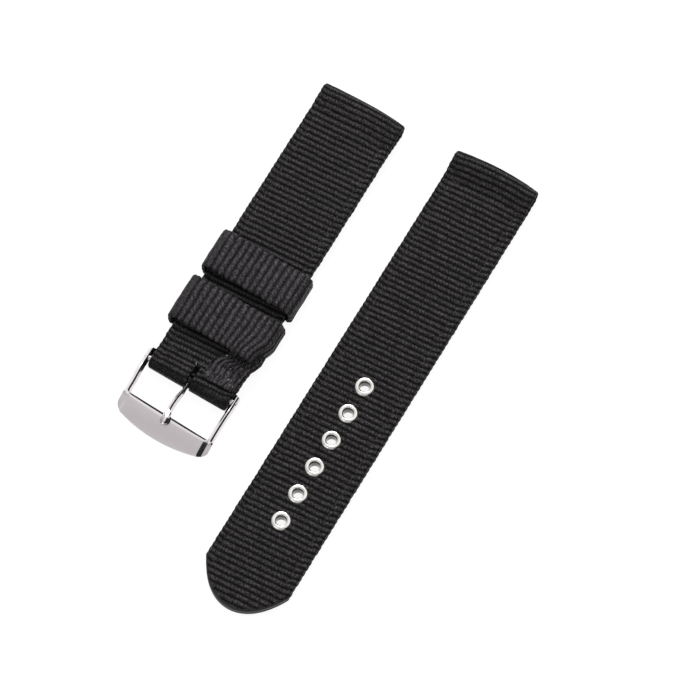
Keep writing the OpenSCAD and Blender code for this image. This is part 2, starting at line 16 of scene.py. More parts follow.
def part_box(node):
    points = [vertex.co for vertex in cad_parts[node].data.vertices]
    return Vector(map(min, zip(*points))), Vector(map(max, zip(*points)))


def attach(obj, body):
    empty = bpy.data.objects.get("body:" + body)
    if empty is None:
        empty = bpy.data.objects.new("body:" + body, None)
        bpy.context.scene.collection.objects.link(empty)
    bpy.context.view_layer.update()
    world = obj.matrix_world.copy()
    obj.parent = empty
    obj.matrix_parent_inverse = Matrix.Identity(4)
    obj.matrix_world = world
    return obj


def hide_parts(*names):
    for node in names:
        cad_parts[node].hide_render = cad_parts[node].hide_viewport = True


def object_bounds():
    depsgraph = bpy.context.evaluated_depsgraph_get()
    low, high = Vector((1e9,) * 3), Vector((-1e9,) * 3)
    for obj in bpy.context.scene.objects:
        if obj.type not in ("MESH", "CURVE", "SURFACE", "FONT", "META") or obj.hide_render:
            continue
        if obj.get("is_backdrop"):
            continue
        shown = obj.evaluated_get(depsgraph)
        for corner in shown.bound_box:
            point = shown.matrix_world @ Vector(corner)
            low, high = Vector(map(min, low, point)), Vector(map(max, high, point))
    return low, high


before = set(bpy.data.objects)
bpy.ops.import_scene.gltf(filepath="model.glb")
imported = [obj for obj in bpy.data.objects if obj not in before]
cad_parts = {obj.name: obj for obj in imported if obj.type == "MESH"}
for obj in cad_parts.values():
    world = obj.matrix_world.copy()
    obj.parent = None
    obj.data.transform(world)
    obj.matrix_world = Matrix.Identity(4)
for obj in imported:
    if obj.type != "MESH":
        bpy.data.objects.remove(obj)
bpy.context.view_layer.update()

MM = 0.001

# %% [markdown]
# ## The camera
# A product photograph of a flat thing is usually taken from far away with a long lens, so that
# both halves keep their true shape. One could turn the camera by eye, but here its direction is
# kept as two angles and a point on the table that it aims at. A small move in its own plane
# frames the picture without any lens shift.

# %% Place the camera
AIM = Vector((3.494, -2.276, 0.0)) * MM
AZIMUTH, ELEVATION = math.radians(209.98), math.radians(67.13)
DISTANCE, LENS = 1.4691, 354.4
SIDESTEP = Vector((7.816, -1.352, 0)) * MM
back = Vector((math.cos(ELEVATION) * math.cos(AZIMUTH),
               math.cos(ELEVATION) * math.sin(AZIMUTH),
               math.sin(ELEVATION)))
camera_data = bpy.data.cameras.new("camera")
camera_data.sensor_width = 36
camera_data.lens = LENS
camera = bpy.data.objects.new("camera", camera_data)
bpy.context.scene.collection.objects.link(camera)
turn = (-back).to_track_quat("-Z", "Y")
camera.rotation_mode = "QUATERNION"
camera.rotation_quaternion = turn
camera.location = AIM + back * DISTANCE + turn @ SIDESTEP
bpy.context.scene.camera = camera

# %% [markdown]
# ## Small helpers for node materials
# A material is a graph of nodes. A few helpers keep the cells short: each adds one kind of node,
# whose inputs are numbers or other nodes' outputs, and hands back its output. One more starts a
# material with its shader's sockets set.

# %% Node helpers
def feed(tree, node, **inputs):
    """Sets a node's inputs, or links them to other nodes' outputs."""
    for name, value in inputs.items():
        socket = node.inputs[name.replace("_", " ")]
        if isinstance(value, bpy.types.NodeSocket):
            tree.links.new(value, socket)
        else:
            socket.default_value = value


def add_node(tree, kind, **inputs):
    """Adds a node and feeds it."""
    node = tree.nodes.new("ShaderNode" + kind)
    feed(tree, node, **inputs)
    return node


def new_material(name, **sockets):
    """Starts a material; each keyword is a socket of its Principled shader."""
    material = bpy.data.materials.new(name)
    material.use_nodes = True
    shader = material.node_tree.nodes["Principled BSDF"]
    feed(material.node_tree, shader, **sockets)
    return material, material.node_tree, shader


def calc(tree, operation, *values):
    """Adds a Math node and returns its output."""
    node = tree.nodes.new("ShaderNodeMath")
    node.operation = operation
    for socket, value in zip(node.inputs, values):
        if isinstance(value, bpy.types.NodeSocket):
            tree.links.new(value, socket)
        else:
            socket.default_value = value
    return node.outputs[0]


def total(tree, first, *others):
    """Adds up two or more values."""
    for other in others:
        first = calc(tree, "ADD", first, other)
    return first


def product(tree, first, *others):
    """Multiplies two or more values."""
    for other in others:
        first = calc(tree, "MULTIPLY", first, other)
    return first

# %% [markdown]
# The finishes here need only a few textures: noise on the piece's own coordinates, a colour
# ramp, a change of range, and a bump.

# %% Texture helpers
def centred(tree, value):
    """Moves a value between 0 and 1 so that it lies round 0."""
    return calc(tree, "SUBTRACT", value, 0.5)


def own_place(tree):
    """The piece's own coordinates."""
    return tree.nodes.new("ShaderNodeTexCoord").outputs["Object"]


def noise_node(tree, scale, detail=2.0, roughness=0.5, place=None, stretch=None):
    """Adds a Noise texture and returns its value; stretch scales its place by three factors."""
    place = place or own_place(tree)
    if stretch:
        place = add_node(tree, "Mapping", Vector=place, Scale=stretch).outputs["Vector"]
    return add_node(tree, "TexNoise", Vector=place, Scale=scale, Detail=detail,
                    Roughness=roughness).outputs["Fac"]


def ramp_node(tree, value, stops):
    """Adds a colour ramp; stops are (value, (r, g, b)), and the last value is the ramp's end."""
    whole = max(1.0, stops[-1][0])
    node = tree.nodes.new("ShaderNodeValToRGB")
    for _ in range(len(stops) - 2):
        node.color_ramp.elements.new(0.5)
    for element, (position, colour) in zip(node.color_ramp.elements, stops):
        element.position = position / whole
        element.color = (*colour, 1)
    tree.links.new(calc(tree, "DIVIDE", value, whole), node.inputs["Fac"])
    return node.outputs["Color"]


def span_node(tree, value, low, high, to_low, to_high):
    """Adds a Map Range node."""
    return add_node(tree, "MapRange", Value=value, From_Min=low, From_Max=high,
                    To_Min=to_low, To_Max=to_high).outputs[0]


def bump(tree, shader, height, distance, strength):
    """Bumps the shader's normal by a height, over a distance in millimetres."""
    node = add_node(tree, "Bump", Strength=strength, Distance=distance * MM, Height=height)
    feed(tree, shader, Normal=node.outputs["Normal"])

# %% [markdown]
# ## The table
# The photograph has a white table that keeps hardly any shadow. A white floor could be made by
# more and more light, but that would bleach the nylon too. Instead the floor glows softly for
# the camera and for reflections only, and a plain diffuse share of it still takes the shadow.

# %% Floor
def as_object(name, mesh):
    """Puts a bmesh or a mesh into a new object at the origin."""
    if isinstance(mesh, bmesh.types.BMesh):
        data = bpy.data.meshes.new(name)
        mesh.to_mesh(data)
        mesh.free()
        mesh = data
    thing = bpy.data.objects.new(name, mesh)
    bpy.context.scene.collection.objects.link(thing)
    return thing


def ray_share(tree):
    """1 for rays from the camera, from gloss or through glass, and 0 for the rest."""
    path = tree.nodes.new("ShaderNodeLightPath").outputs
    seen = total(tree, path["Is Camera Ray"], path["Is Glossy Ray"], path["Is Transmission Ray"])
    return calc(tree, "MINIMUM", seen, 1.0)


floor_grid = bmesh.new()
bmesh.ops.create_grid(floor_grid, x_segments=1, y_segments=1, size=3.0)
bmesh.ops.translate(floor_grid, verts=floor_grid.verts, vec=(0, 0, -0.03 * MM))
floor = as_object("floor", floor_grid)
white_table, tree, shader = new_material(
    "white_table", Roughness=0.9, Base_Color=(0.17, 0.17, 0.17, 1), Specular_IOR_Level=0.0,
    Emission_Color=(1, 1, 1, 1))
feed(tree, shader, Emission_Strength=product(tree, ray_share(tree), 0.90))
floor.data.materials.append(white_table)
floor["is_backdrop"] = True

# %% [markdown]
# ## Backdrop and lamps
# Polished steel shows little of itself and much of the room. An even dome would leave it without
# a single line, so this dome has a dark gap low on the front side, like the gap between two
# diffusers, and it is dimmer on the left. Facets that face the gap turn black, and their
# neighbours stay white.
# Two large soft lamps stand for a photographer's two soft boxes.

# %% Backdrop and lamps
world = bpy.data.worlds.new("studio")
bpy.context.scene.world = world
world.use_nodes = True
tree = world.node_tree
direction = tree.nodes.new("ShaderNodeTexCoord").outputs["Generated"]
to_x, to_y, to_z = add_node(tree, "SeparateXYZ", Vector=direction).outputs
sweep = product(tree, span_node(tree, to_x, -0.55, 0.45, 0.58, 1.15),
                span_node(tree, to_y, 0.55, 0.90, 1.0, 0.78))
gap = product(tree, span_node(tree, to_z, 0.44, 0.58, 0.97, 0.0),
              span_node(tree, to_y, 0.35, 0.65, 1.0, 0.0),
              span_node(tree, to_x, -0.75, -0.45, 0.0, 1.0))
lit_dome = product(tree, sweep, calc(tree, "SUBTRACT", 1.0, gap))
camera_ray = tree.nodes.new("ShaderNodeLightPath").outputs["Is Camera Ray"]
feed(tree, tree.nodes["Background"], Color=(1, 1, 1, 1),
     Strength=calc(tree, "MAXIMUM", lit_dome, camera_ray))


def soft_lamp(name, place, size, power):
    """A square lamp that looks at the strap."""
    data = bpy.data.lights.new(name, "AREA")
    data.size = size
    data.energy = power
    lamp = bpy.data.objects.new(name, data)
    lamp.location = place
    lamp.rotation_mode = "QUATERNION"
    lamp.rotation_quaternion = (-Vector(place)).to_track_quat("-Z", "Y")
    bpy.context.scene.collection.objects.link(lamp)


soft_lamp("key_lamp", (0.62, 0.30, 0.55), 0.45, 4.2)
soft_lamp("fill_lamp", (-0.80, 0.25, 0.55), 0.60, 1.2)
bpy.context.scene.view_settings.view_transform = "Standard"

# %% [markdown]
# ## Nylon webbing
# Webbing is a narrow loom's ribbon. Thick hidden yarns cross it as ribs, and the yarns that run
# along it pass over each rib as short slanted stitches, shifted by half a yarn from rib to rib.
# A picture of cloth would blur close by, so the pattern is computed: every piece of ribbon
# carries a UV map whose first number counts ribs and whose second counts yarns. The same rib
# count also shapes the mesh, so mesh and pattern always agree. Where the cloth is stretched hard
# over an edge its weave closes and nearly disappears: the attribute "plain" says how much.

# %% The woven material
TWIST, RAGGED, SHIFTED = -0.9, 2.6, 5.0
FILAMENTS, PATCHES, FUZZ = 0.55, 0.6, 1.85


def woven_nylon(name, stops, rope, breadth, gloss, smooth):
    """Nylon ribbon. stops run from groove to crown; rope and breadth shape its ribs."""
    material, tree, shader = new_material(name, Metallic=0.0, Sheen_Weight=0.03)
    weave = tree.nodes.new("ShaderNodeUVMap")
    weave.uv_map = "weave"
    ribs, strands, _ = add_node(tree, "SeparateXYZ", Vector=weave.outputs["UV"]).outputs
    over_rib = calc(tree, "FRACT", ribs)
    own = tree.nodes.new("ShaderNodeTexWhiteNoise")
    own.noise_dimensions = "1D"
    feed(tree, own, W=calc(tree, "FLOOR", ribs))
    strand = total(tree, strands, product(tree, own.outputs["Value"], SHIFTED),
                   product(tree, centred(tree, over_rib), TWIST),
                   product(tree, noise_node(tree, 900, 3, 0.6), RAGGED))
    off_middle = calc(tree, "ABSOLUTE", centred(tree, calc(tree, "FRACT", strand)))
    hollow = calc(tree, "POWER", product(tree, off_middle, 2.0), 2.4)
    strand_crown = calc(tree, "SUBTRACT", 1.0, hollow)
    rib_crown = calc(tree, "POWER", calc(tree, "SINE", product(tree, over_rib, math.pi)), breadth)
    streaks = centred(tree, noise_node(tree, 1.0, place=weave.outputs["UV"],
                                       stretch=(4.2, 1.1, 1.0)))
    ropes = calc(tree, "MULTIPLY_ADD", strand_crown, rope, 1 - rope)
    height = total(tree, product(tree, rib_crown, ropes), product(tree, streaks, FILAMENTS))
    attribute = tree.nodes.new("ShaderNodeAttribute")
    attribute.attribute_name = "plain"
    plain = attribute.outputs["Fac"]
    height = total(tree, product(tree, height, calc(tree, "MULTIPLY_ADD", plain, -0.8, 1.0)),
                   product(tree, plain, smooth))
    patches = centred(tree, noise_node(tree, 420, 4, 0.65))
    fuzz = centred(tree, noise_node(tree, 2700, 2, 0.6))
    shade = total(tree, height, product(tree, patches, PATCHES), product(tree, fuzz, FUZZ))
    # The ramp paints shade into the rib grooves and light onto the crowns, and the gloss is turned
    # down in the grooves as more painted shade.
    feed(tree, shader, Base_Color=ramp_node(tree, shade, stops),
         Specular_IOR_Level=span_node(tree, shade, 0.35, 1.1, 0.02, gloss),
         Roughness=span_node(tree, patches, -0.2, 0.2, 0.40, 0.60))
    bump(tree, shader, height, 0.15, 1.0)
    return material


# Each list of stops runs from painted shade in a groove to painted light on a crown.
webbing_nylon = woven_nylon("black_webbing",
                            [(0.0, (0.0048, 0.0041, 0.0045)), (0.50, (0.0080, 0.0070, 0.0077)),
                             (0.85, (0.0132, 0.0117, 0.0128)), (1.35, (0.055, 0.050, 0.0535))],
                            0.32, 0.75, 0.26, 0.38)
keeper_nylon = woven_nylon("black_keeper_ribbon",
                           [(0.0, (0.0095, 0.0084, 0.0094)), (0.50, (0.0172, 0.0152, 0.0169)),
                            (0.85, (0.0250, 0.0222, 0.0246)), (1.35, (0.066, 0.059, 0.065))],
                           0.42, 0.5, 0.32, 0.5)

# %% [markdown]
# Sewing thread is bonded nylon: three plies twisted into a cord, so a stitch shows fine slanted
# grooves. The twist is too small for the mesh, and a wave on the piece's own coordinates is
# enough.

# %% The thread material
thread_nylon, tree, shader = new_material("black_thread", Roughness=0.42, Specular_IOR_Level=0.22)
twist = add_node(tree, "TexWave", Vector=own_place(tree), Scale=900, Distortion=1.0)
twist.bands_direction = "DIAGONAL"
ply = total(tree, twist.outputs["Fac"], product(tree, noise_node(tree, 2500), 0.4))
feed(tree, shader, Base_Color=ramp_node(
    tree, ply, [(0.1, (0.004, 0.004, 0.0045)), (1.0, (0.020, 0.0185, 0.020))]))
bump(tree, shader, ply, 0.05, 0.8)

# %% [markdown]
# Where the tip is sealed the nylon has melted, so its edge has no weave left: it is black, a bit
# glossy and slightly lumpy.

# %% The melted rim
sealed_nylon, tree, shader = new_material("sealed_nylon", Roughness=0.45, Specular_IOR_Level=0.35)
lumps = noise_node(tree, 1500, 3)
feed(tree, shader, Base_Color=ramp_node(
    tree, lumps, [(0.3, (0.005, 0.0045, 0.005)), (0.7, (0.017, 0.0155, 0.0165))]))
bump(tree, shader, lumps, 0.08, 0.8)

# %% [markdown]
# ## Steel
# The buckle and the eyelets are polished and plated, the bar and the washers only turned or
# stamped. Even a polished face isn't perfect: its gloss varies in soft patches, and wear leaves
# fine scratches. Both come from noise in the roughness and in a very shallow bump. The buckle's
# face is brushed to a satin. The tongue's curl is painted near-black as painted shade of the fold
# round it, and an eyelet's throat is painted dark low down as painted shade.

# %% The steel materials
# The dark colour down an eyelet's throat is painted shade, for the shadow inside the hole.
THROAT_SHADE = (0.10, 0.095, 0.09, 1)


def worn_steel(name, colour, shine, dull, scratch, throat=None):
    """Steel whose roughness wanders from shine to dull; below the height throat it gets painted
    shade.
    """
    material, tree, shader = new_material(name, Metallic=1.0)
    place = own_place(tree)
    hairlines = noise_node(tree, 1.0, 3, place=place, stretch=(700, 9000, 2500))
    wear = total(tree, product(tree, noise_node(tree, 260, 3), 0.7), product(tree, hairlines, 0.3))
    tint = ramp_node(tree, wear, [(0.3, colour), (0.75, [0.86 * c for c in colour])])
    if throat:
        height = add_node(tree, "SeparateXYZ", Vector=place).outputs["Z"]
        low, high = (throat - 0.3) * MM, (throat + 0.15) * MM
        throat_shade = tree.nodes.new("ShaderNodeMix")
        throat_shade.data_type = "RGBA"
        feed(tree, throat_shade, A=THROAT_SHADE, B=tint, Factor=span_node(tree, height, low, high, 0.0, 1.0))
        tint = throat_shade.outputs["Result"]
    feed(tree, shader, Base_Color=tint, Roughness=span_node(tree, wear, 0.35, 0.65, shine, dull))
    bump(tree, shader, wear, scratch, 0.5)
    return material


polished_steel = worn_steel("polished_steel", (0.80, 0.765, 0.785), 0.07, 0.16, 0.004)
# Below the throat height its colour darkens as painted shade.
eyelet_steel = worn_steel("eyelet_steel", (0.84, 0.82, 0.79), 0.07, 0.16, 0.004, throat=2.45)
satin_steel = worn_steel("satin_steel", (0.66, 0.615, 0.635), 0.30, 0.40, 0.006)
# The curl's near-black colour is painted shade, where the wire sits inside the fold.
curl_shade_steel = worn_steel("curl_shade_steel", (0.035, 0.033, 0.034), 0.45, 0.55, 0.012)
plain_steel = worn_steel("plain_steel", (0.52, 0.52, 0.53), 0.24, 0.38, 0.012)

# %% [markdown]
# ## Making a piece
# Each piece is finished in the same way: its mesh goes into an object at the origin, gets its
# materials, rides on a body of the frame, and hides the plain CAD node it stands for. A few more
# helpers shape metal: one rounds corners, one pulls a flat shape up, one slices it.

# %% Finish a piece
def finish_piece(name, mesh, materials, body, nodes):
    """Makes an object of a bmesh or a mesh, and ties it to the frame."""
    if isinstance(mesh, bmesh.types.BMesh):
        bmesh.ops.recalc_face_normals(mesh, faces=mesh.faces)
    piece = as_object(name, mesh)
    data = piece.data
    for material in materials:
        data.materials.append(material)
    data.polygons.foreach_set("use_smooth", [True] * len(data.polygons))
    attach(piece, body)
    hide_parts(*nodes)
    print(f"{name}: {sum(len(p.vertices) - 2 for p in data.polygons)} triangles")
    return piece


def made_verts(made):
    """The vertices among the things that a bmesh operator made."""
    return [g for g in made["geom"] if isinstance(g, bmesh.types.BMVert)]


def rounded(mesh, corners, offset, segments, affect="VERTICES"):
    """Rounds corners or edges."""
    bmesh.ops.bevel(mesh, geom=corners, offset=offset, affect=affect, segments=segments,
                    profile=0.5, material=-1)


def pull_up(mesh, faces, height):
    """Pulls flat faces up into a plate."""
    made = bmesh.ops.extrude_face_region(mesh, geom=faces)
    bmesh.ops.translate(mesh, vec=(0, 0, height), verts=made_verts(made))
    bmesh.ops.recalc_face_normals(mesh, faces=mesh.faces)


def slice_across(mesh, axis, places):
    """Adds edges at several places along an axis, so that the mesh can bend there."""
    for place in places:
        bmesh.ops.bisect_plane(mesh, geom=mesh.verts[:] + mesh.edges[:] + mesh.faces[:],
                               plane_co=Vector(axis) * place, plane_no=axis)

# %% [markdown]
# ## The ribbon's course
# A folded ribbon is easiest to see from its side, as one line: flat runs, and arcs round the
# bars. Such a line could be a curve object, but then the ribs would have to be cut in later.
# Here the line is cut into equal steps, many to each rib, and the ribbon is a flat grid that is
# laid along it step by step, as a weaver's ribbon would be.

# %% Course helpers
def arc(centre, radius, start, end, steps=24):
    """Points of an arc, between two angles in degrees."""
    angles = [math.radians(start + (end - start) * i / steps) for i in range(steps + 1)]
    return [(centre[0] + radius * math.cos(a), centre[1] + radius * math.sin(a)) for a in angles]


def touch_angle(distance, height, radius):
    """Angle at which a line from a point touches a circle."""
    slope = math.atan2(height, distance)
    return math.degrees(slope + math.acos(radius / math.hypot(distance, height)))


def even_course(points, step, closed, soft):
    """Cuts a line into equal steps and softens its corners; gives points, normals and length."""
    line = np.array(points + points[:1] if closed else points, float)
    run = np.r_[0, np.cumsum(np.linalg.norm(np.diff(line, axis=0), axis=1))]
    count = round(run[-1] / step)
    at = np.linspace(0, run[-1], count + 1)
    line = np.c_[np.interp(at, run, line[:, 0]), np.interp(at, run, line[:, 1])]
    for _ in range(2):
        before = line[-soft - 1:-1] if closed else 2 * line[0] - line[soft:0:-1]
        after = line[1:soft + 1] if closed else 2 * line[-1] - line[-2:-soft - 2:-1]
        wide = np.vstack([before, line, after])
        line = np.array([wide[i:i + 2 * soft + 1].mean(0) for i in range(count + 1)])
    ahead = np.vstack([line[1:], line[1:2] if closed else 2 * line[-1:] - line[-2:-1]])
    behind = np.vstack([line[-2:-1] if closed else 2 * line[:1] - line[1:2], line[:-1]])
    along = ahead - behind
    along /= np.linalg.norm(along, axis=1)[:, None]
    normals = np.c_[-along[:, 1], along[:, 0]]
    return line, normals, run[-1]

# %% [markdown]
# The ribbon's own section has a finely divided outer face, two rounded selvedges and a plain
# inner face. The outer face rises over each rib and sinks between ribs, and the selvedge bulges
# where a rib ends in it, which gives the strap its tiny scallops.

# %% The ribbon's section
EDGE_REACH, EDGE_STEPS = 0.42, 7
WIDE_RIBBON, EDGE_SLANT = 8, 0.20


def smooth_step(low, high, value):
    """0 below low, 1 above high, and a soft rise between."""
    t = min(1.0, max(0.0, (value - low) / (high - low)))
    return t * t * (3 - 2 * t)


def uneven(x, y, z):
    """Smooth noise at a place, about between -1 and 1."""
    return noise.noise(Vector((x, y, z)))


def ribbon_section(half_width, thickness, columns, lining=6):
    """Points round the section: (across, depth, relief share, scallop share)."""
    flat = half_width - EDGE_REACH
    outer = [(-flat + 2 * flat * i / columns, 0.0, 1.0, 0.0) for i in range(columns + 1)]
    turns = [math.pi * i / EDGE_STEPS for i in range(1, EDGE_STEPS)]
    edge = [(flat + EDGE_REACH * math.sin(a), thickness / 2 * (1 - math.cos(a)),
             max(0.0, math.cos(a)), math.sin(a)) for a in turns]
    inner = [(flat - 2 * flat * i / lining, thickness, 0.0, 0.0) for i in range(lining + 1)]
    other = [(-w, d, r, -c) for w, d, r, c in reversed(edge)]
    return outer + edge + inner + other


def rib_shape(count, depth):
    """Height of the outer face at a rib count: round ribs with narrow grooves."""
    return depth * (abs(math.sin(math.pi * count)) ** 0.6 - 0.75)

# %% [markdown]
# The ribbon itself starts as a flat grid. One direction of the grid runs along the course and
# the other round the section, and every vertex is moved to its place. Smooth noise lets the ribs
# drift a little, as a loom's do, most of all near the selvedges.

# %% Weave a ribbon
def woven_ribbon(points, closed, half_width, thickness, pitch, yarn, depth, columns, put,
                 lean=0.0, scallop=0.12, wander=0.12, rows_per_rib=6, soft=3,
                 relief=None, plain=None):
    """A ribbon as a bmesh with its weave map. put(p, q, w) places a course point and a width."""
    line, normals, length = even_course(points, pitch / rows_per_rib, closed, soft)
    rows = len(line) - 1
    whole_pitch = length / round(length / pitch) if closed else pitch
    section = ribbon_section(half_width, thickness, columns)
    ring = len(section)
    yarns_per_column = 2 * half_width / columns / yarn
    cloth = bmesh.new()
    bmesh.ops.create_grid(cloth, x_segments=rows, y_segments=ring, size=0.5)
    weave = cloth.loops.layers.uv.new("weave")
    plain_share = cloth.verts.layers.float.new("plain")
    spots = {}
    for vertex in cloth.verts:
        i, j = round((vertex.co.x + 0.5) * rows), round((vertex.co.y + 0.5) * ring)
        across, deep, share, bulge = section[j % ring]
        (p, q), (out_p, out_q) = line[i], normals[i]
        drift = wander * uneven(p * 0.22, across * 0.22, q * 0.22 + 40 * pitch)
        selvedge = smooth_step(half_width - 3.2, half_width - 1.6, abs(across))
        drift += 0.6 * wander * uneven(p * 1.1, across * 0.9, q) * (0.3 + 1.9 * selvedge)
        if half_width > WIDE_RIBBON:
            drift -= EDGE_SLANT * max(0.0, abs(across) - half_width + 1.8)
        ribs = (i * length / rows + lean * across + drift) / whole_pitch
        rise = rib_shape(ribs, depth)
        if relief:
            rise = relief(p, q, out_q, across, rise)
        edge = scallop * (abs(math.sin(math.pi * ribs)) - 0.6)
        edge += 0.10 * uneven(p * 0.5, q * 0.5, 7 + across)
        up = rise * share - deep
        vertex[plain_share] = plain(p, q, across) if plain else 0.0
        column = j if j <= columns + 1 else columns + 1 + (j - columns) * 0.3
        spots[vertex] = (ribs, column * yarns_per_column)
        vertex.co = put(p + out_p * up, q + out_q * up, across + bulge * edge)
    for face in cloth.faces:
        for loop in face.loops:
            loop[weave].uv = spots[loop.vert]
    bmesh.ops.remove_doubles(cloth, verts=cloth.verts, dist=0.004 * MM)
    if not closed:
        bmesh.ops.holes_fill(cloth, edges=[e for e in cloth.edges if e.is_boundary], sides=0)
    bmesh.ops.recalc_face_normals(cloth, faces=cloth.faces)
    return cloth

# %% [markdown]
# ## The buckle half's webbing
# One length of webbing runs along the top, round a tunnel for the watch's bar, back along the
# underside and round the buckle's own bar. The lug end is bowed, and the buckle's end is a little
# narrower and sewn askew, as on most sewn straps. Bending the placed points does all of this, so
# the ribs follow.

# %% Place the buckle half
STRAP_HALF, LAYER, RIB_PITCH, RIB_DEPTH, YARN, COLUMNS = 10.0, 1.15, 1.35, 0.20, 0.80, 52
LOOP_R, FOLD_R, TUNNEL_FLANK = 2.15, 2.1, 4.6
NARROWING, NARROW_BY, END_ASIDE, ASKEW = (-66, -74), 0.03, 0.15, 0.035
buckle_low, buckle_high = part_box("buckle_webbing")
buckle_origin = Vector((buckle_high.x, (buckle_low.y + buckle_high.y) / 2, 0))
axle_z = (buckle_high.z / MM) - LOOP_R
fold_x = -(buckle_high.x - buckle_low.x) / MM + FOLD_R
seam_x = {"lug": -7.35, "fold": fold_x + 4.21}


def bowed_end(x, across, near, far):
    """How far a place lies behind the bowed lug end: near and far are its two corners' values."""
    corner = near if across < 0 else far
    return (corner * (across / STRAP_HALF) ** 2 - 0.2) * smooth_step(-16, 0, x)


def put_buckle(p, q, across):
    """Places a point of the buckle half, whose lug end is at p = 0."""
    end = smooth_step(*NARROWING, p)
    hang = smooth_step(fold_x, fold_x - FOLD_R, p)
    p += hang * (ASKEW * across - 0.15) - bowed_end(p, across, 0.75, 0.15)
    return buckle_origin + Vector((p, across * (1 - NARROW_BY * end) + END_ASIDE * end, q)) * MM

# %% [markdown]
# Worn webbing isn't even. A firmer band runs along each edge, every seam presses a furrow into
# the ribs, and the end at the buckle crumples, while the fold itself is pulled smooth.

# %% Furrow and crumple the cloth
def furrow(distance, width):
    """1 on a line, falling off on both sides."""
    return math.exp(-(distance / width) ** 2)


def fold_band(p, q, across):
    """1 on the smooth, stretched end of the fold and 0 elsewhere."""
    return smooth_step(fold_x - 0.3, fold_x - 1.2, p)


def strap_relief(seam_lines, crumple):
    """Relief of a strap's outer face with furrows along its seams."""
    def relief(p, q, out_q, across, rise):
        band = smooth_step(6.6, 8.2, abs(across))
        rise *= 1 - 0.35 * band
        rise += band * 0.07 * uneven(p * 1.9, across * 1.9, q)
        rise += 0.05 * uneven(p * 0.35, across * 0.35, q * 0.3)
        if abs(out_q) > 0.9:
            rise -= 0.14 * furrow(abs(across) - 8, 0.4) * smooth_step(0.3, 1.5, -p - 7)
            for line in seam_lines:
                rise -= 0.16 * furrow(p - line, 0.5) * smooth_step(10.2, 8.5, abs(across))
        if crumple:
            rise *= 1 - 0.6 * fold_band(p, q, across)
        if crumple and out_q > 0.5:
            rise += smooth_step(-64, -67, p) * 0.16 * uneven(p * 0.9, across * 0.55, 3)
        return rise
    return relief

# %% [markdown]
# Seen from its side the strap is a closed line: an arc round each bar and two flat layers, which
# touch between the loops.

# %% Fold the buckle half
def loop_arc(centre_x, radius, high, low):
    """The outer arc of a loop at the lug end, from its upper flank round to its lower one."""
    return arc((centre_x, 0), radius, 180 - touch_angle(TUNNEL_FLANK, high, radius),
               touch_angle(TUNNEL_FLANK, -low, radius) - 180)


lug = [(x, axle_z + z) for x, z in loop_arc(-LOOP_R, LOOP_R, LAYER, -LAYER)]
fold = [(fold_x - x, axle_z + z) for x, z in reversed(loop_arc(0, FOLD_R, LAYER, -LAYER))]
top, under = axle_z + LAYER, axle_z - LAYER
buckle_course = ([(-LOOP_R - TUNNEL_FLANK, top)] + lug
                 + [(-LOOP_R - TUNNEL_FLANK, under), (fold_x + TUNNEL_FLANK, under)]
                 + fold + [(fold_x + TUNNEL_FLANK, top)])
buckle_cloth = woven_ribbon(buckle_course, True, STRAP_HALF, LAYER - 0.01, RIB_PITCH, YARN,
                            RIB_DEPTH, COLUMNS, put_buckle, lean=0.045,
                            relief=strap_relief(seam_x.values(), True), plain=fold_band)

# %% [markdown]
# The tongue passes through a slit in the fold. A Boolean modifier cuts it, because it goes
# through curved cloth, and the modifier's result is kept as the mesh. The slit's back end leans
# with the raised tongue, which keeps it short in sight.

# %% Cut the slit
SLOT_HALF, SLOT_END, SLOT_FRONT, SLOT_TALL = 0.57, 3.0, 5, 12
SLOT_LEAN, LEAN_FROM = 0.577, 1.3


def cut_with(cloth, name, cutters):
    """Cuts closed shapes out of a bmesh and returns the result as a mesh."""
    body, tool = as_object(name, cloth), as_object(name + "_cutter", cutters)
    cut = body.modifiers.new("cut", "BOOLEAN")
    cut.operation = "DIFFERENCE"
    cut.solver = "EXACT"
    cut.object = tool
    bpy.context.view_layer.update()
    result = bpy.data.meshes.new_from_object(
        body.evaluated_get(bpy.context.evaluated_depsgraph_get()))
    result.materials.clear()
    for mesh in (body.data, tool.data):
        bpy.data.meshes.remove(mesh)
    return result


slot = bmesh.new()
bmesh.ops.create_cube(slot, size=1)
round_edges = [e for e in slot.edges if all(v.co.x > 0 for v in e.verts)
               and abs(e.verts[0].co.z - e.verts[1].co.z) > 0.5]
bmesh.ops.scale(slot, verts=slot.verts, vec=(SLOT_END + SLOT_FRONT, 2 * SLOT_HALF, SLOT_TALL))
rounded(slot, round_edges, 0.25, 4, "EDGES")
for vertex in slot.verts:
    if vertex.co.x > 0:
        vertex.co.x += SLOT_LEAN * (vertex.co.z - LEAN_FROM)
    vertex.co = buckle_origin + (
        vertex.co + Vector((fold_x + (SLOT_END - SLOT_FRONT) / 2, 0, axle_z))) * MM
finish_piece("buckle_half_webbing", cut_with(buckle_cloth, "buckle_cloth", slot),
             [webbing_nylon], "buckle_half", ["buckle_webbing"])

# %% [markdown]
# ## The tail half's webbing
# The tail is folded only at the lug end, and both layers end together in a rounded tip, cut and
# sealed with heat. The ribs run straight up to the cut, so the cloth is woven a little too long,
# and towards the cut its ribs melt away.

# %% Fold the tail half
TAIL_LEN, TIP_BOW, TAIL_SPARE = 115.8, 8.0, 0.5
tail_low, tail_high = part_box("tail_webbing")
tail_origin = Vector((tail_high.x, (tail_low.y + tail_high.y) / 2, 0))


def tip_edge(across):
    """Where the rounded tip's edge lies, at a place across the strap."""
    share = min(1.0, abs(across) / STRAP_HALF) ** 2
    return -TAIL_LEN + TIP_BOW * (0.8 * share + 0.2 * share * share)


def tip_rim(p, across):
    """1 on the tip's cut and 0 from 0.7 mm behind it."""
    return smooth_step(0.7, 0.0, p - tip_edge(across))


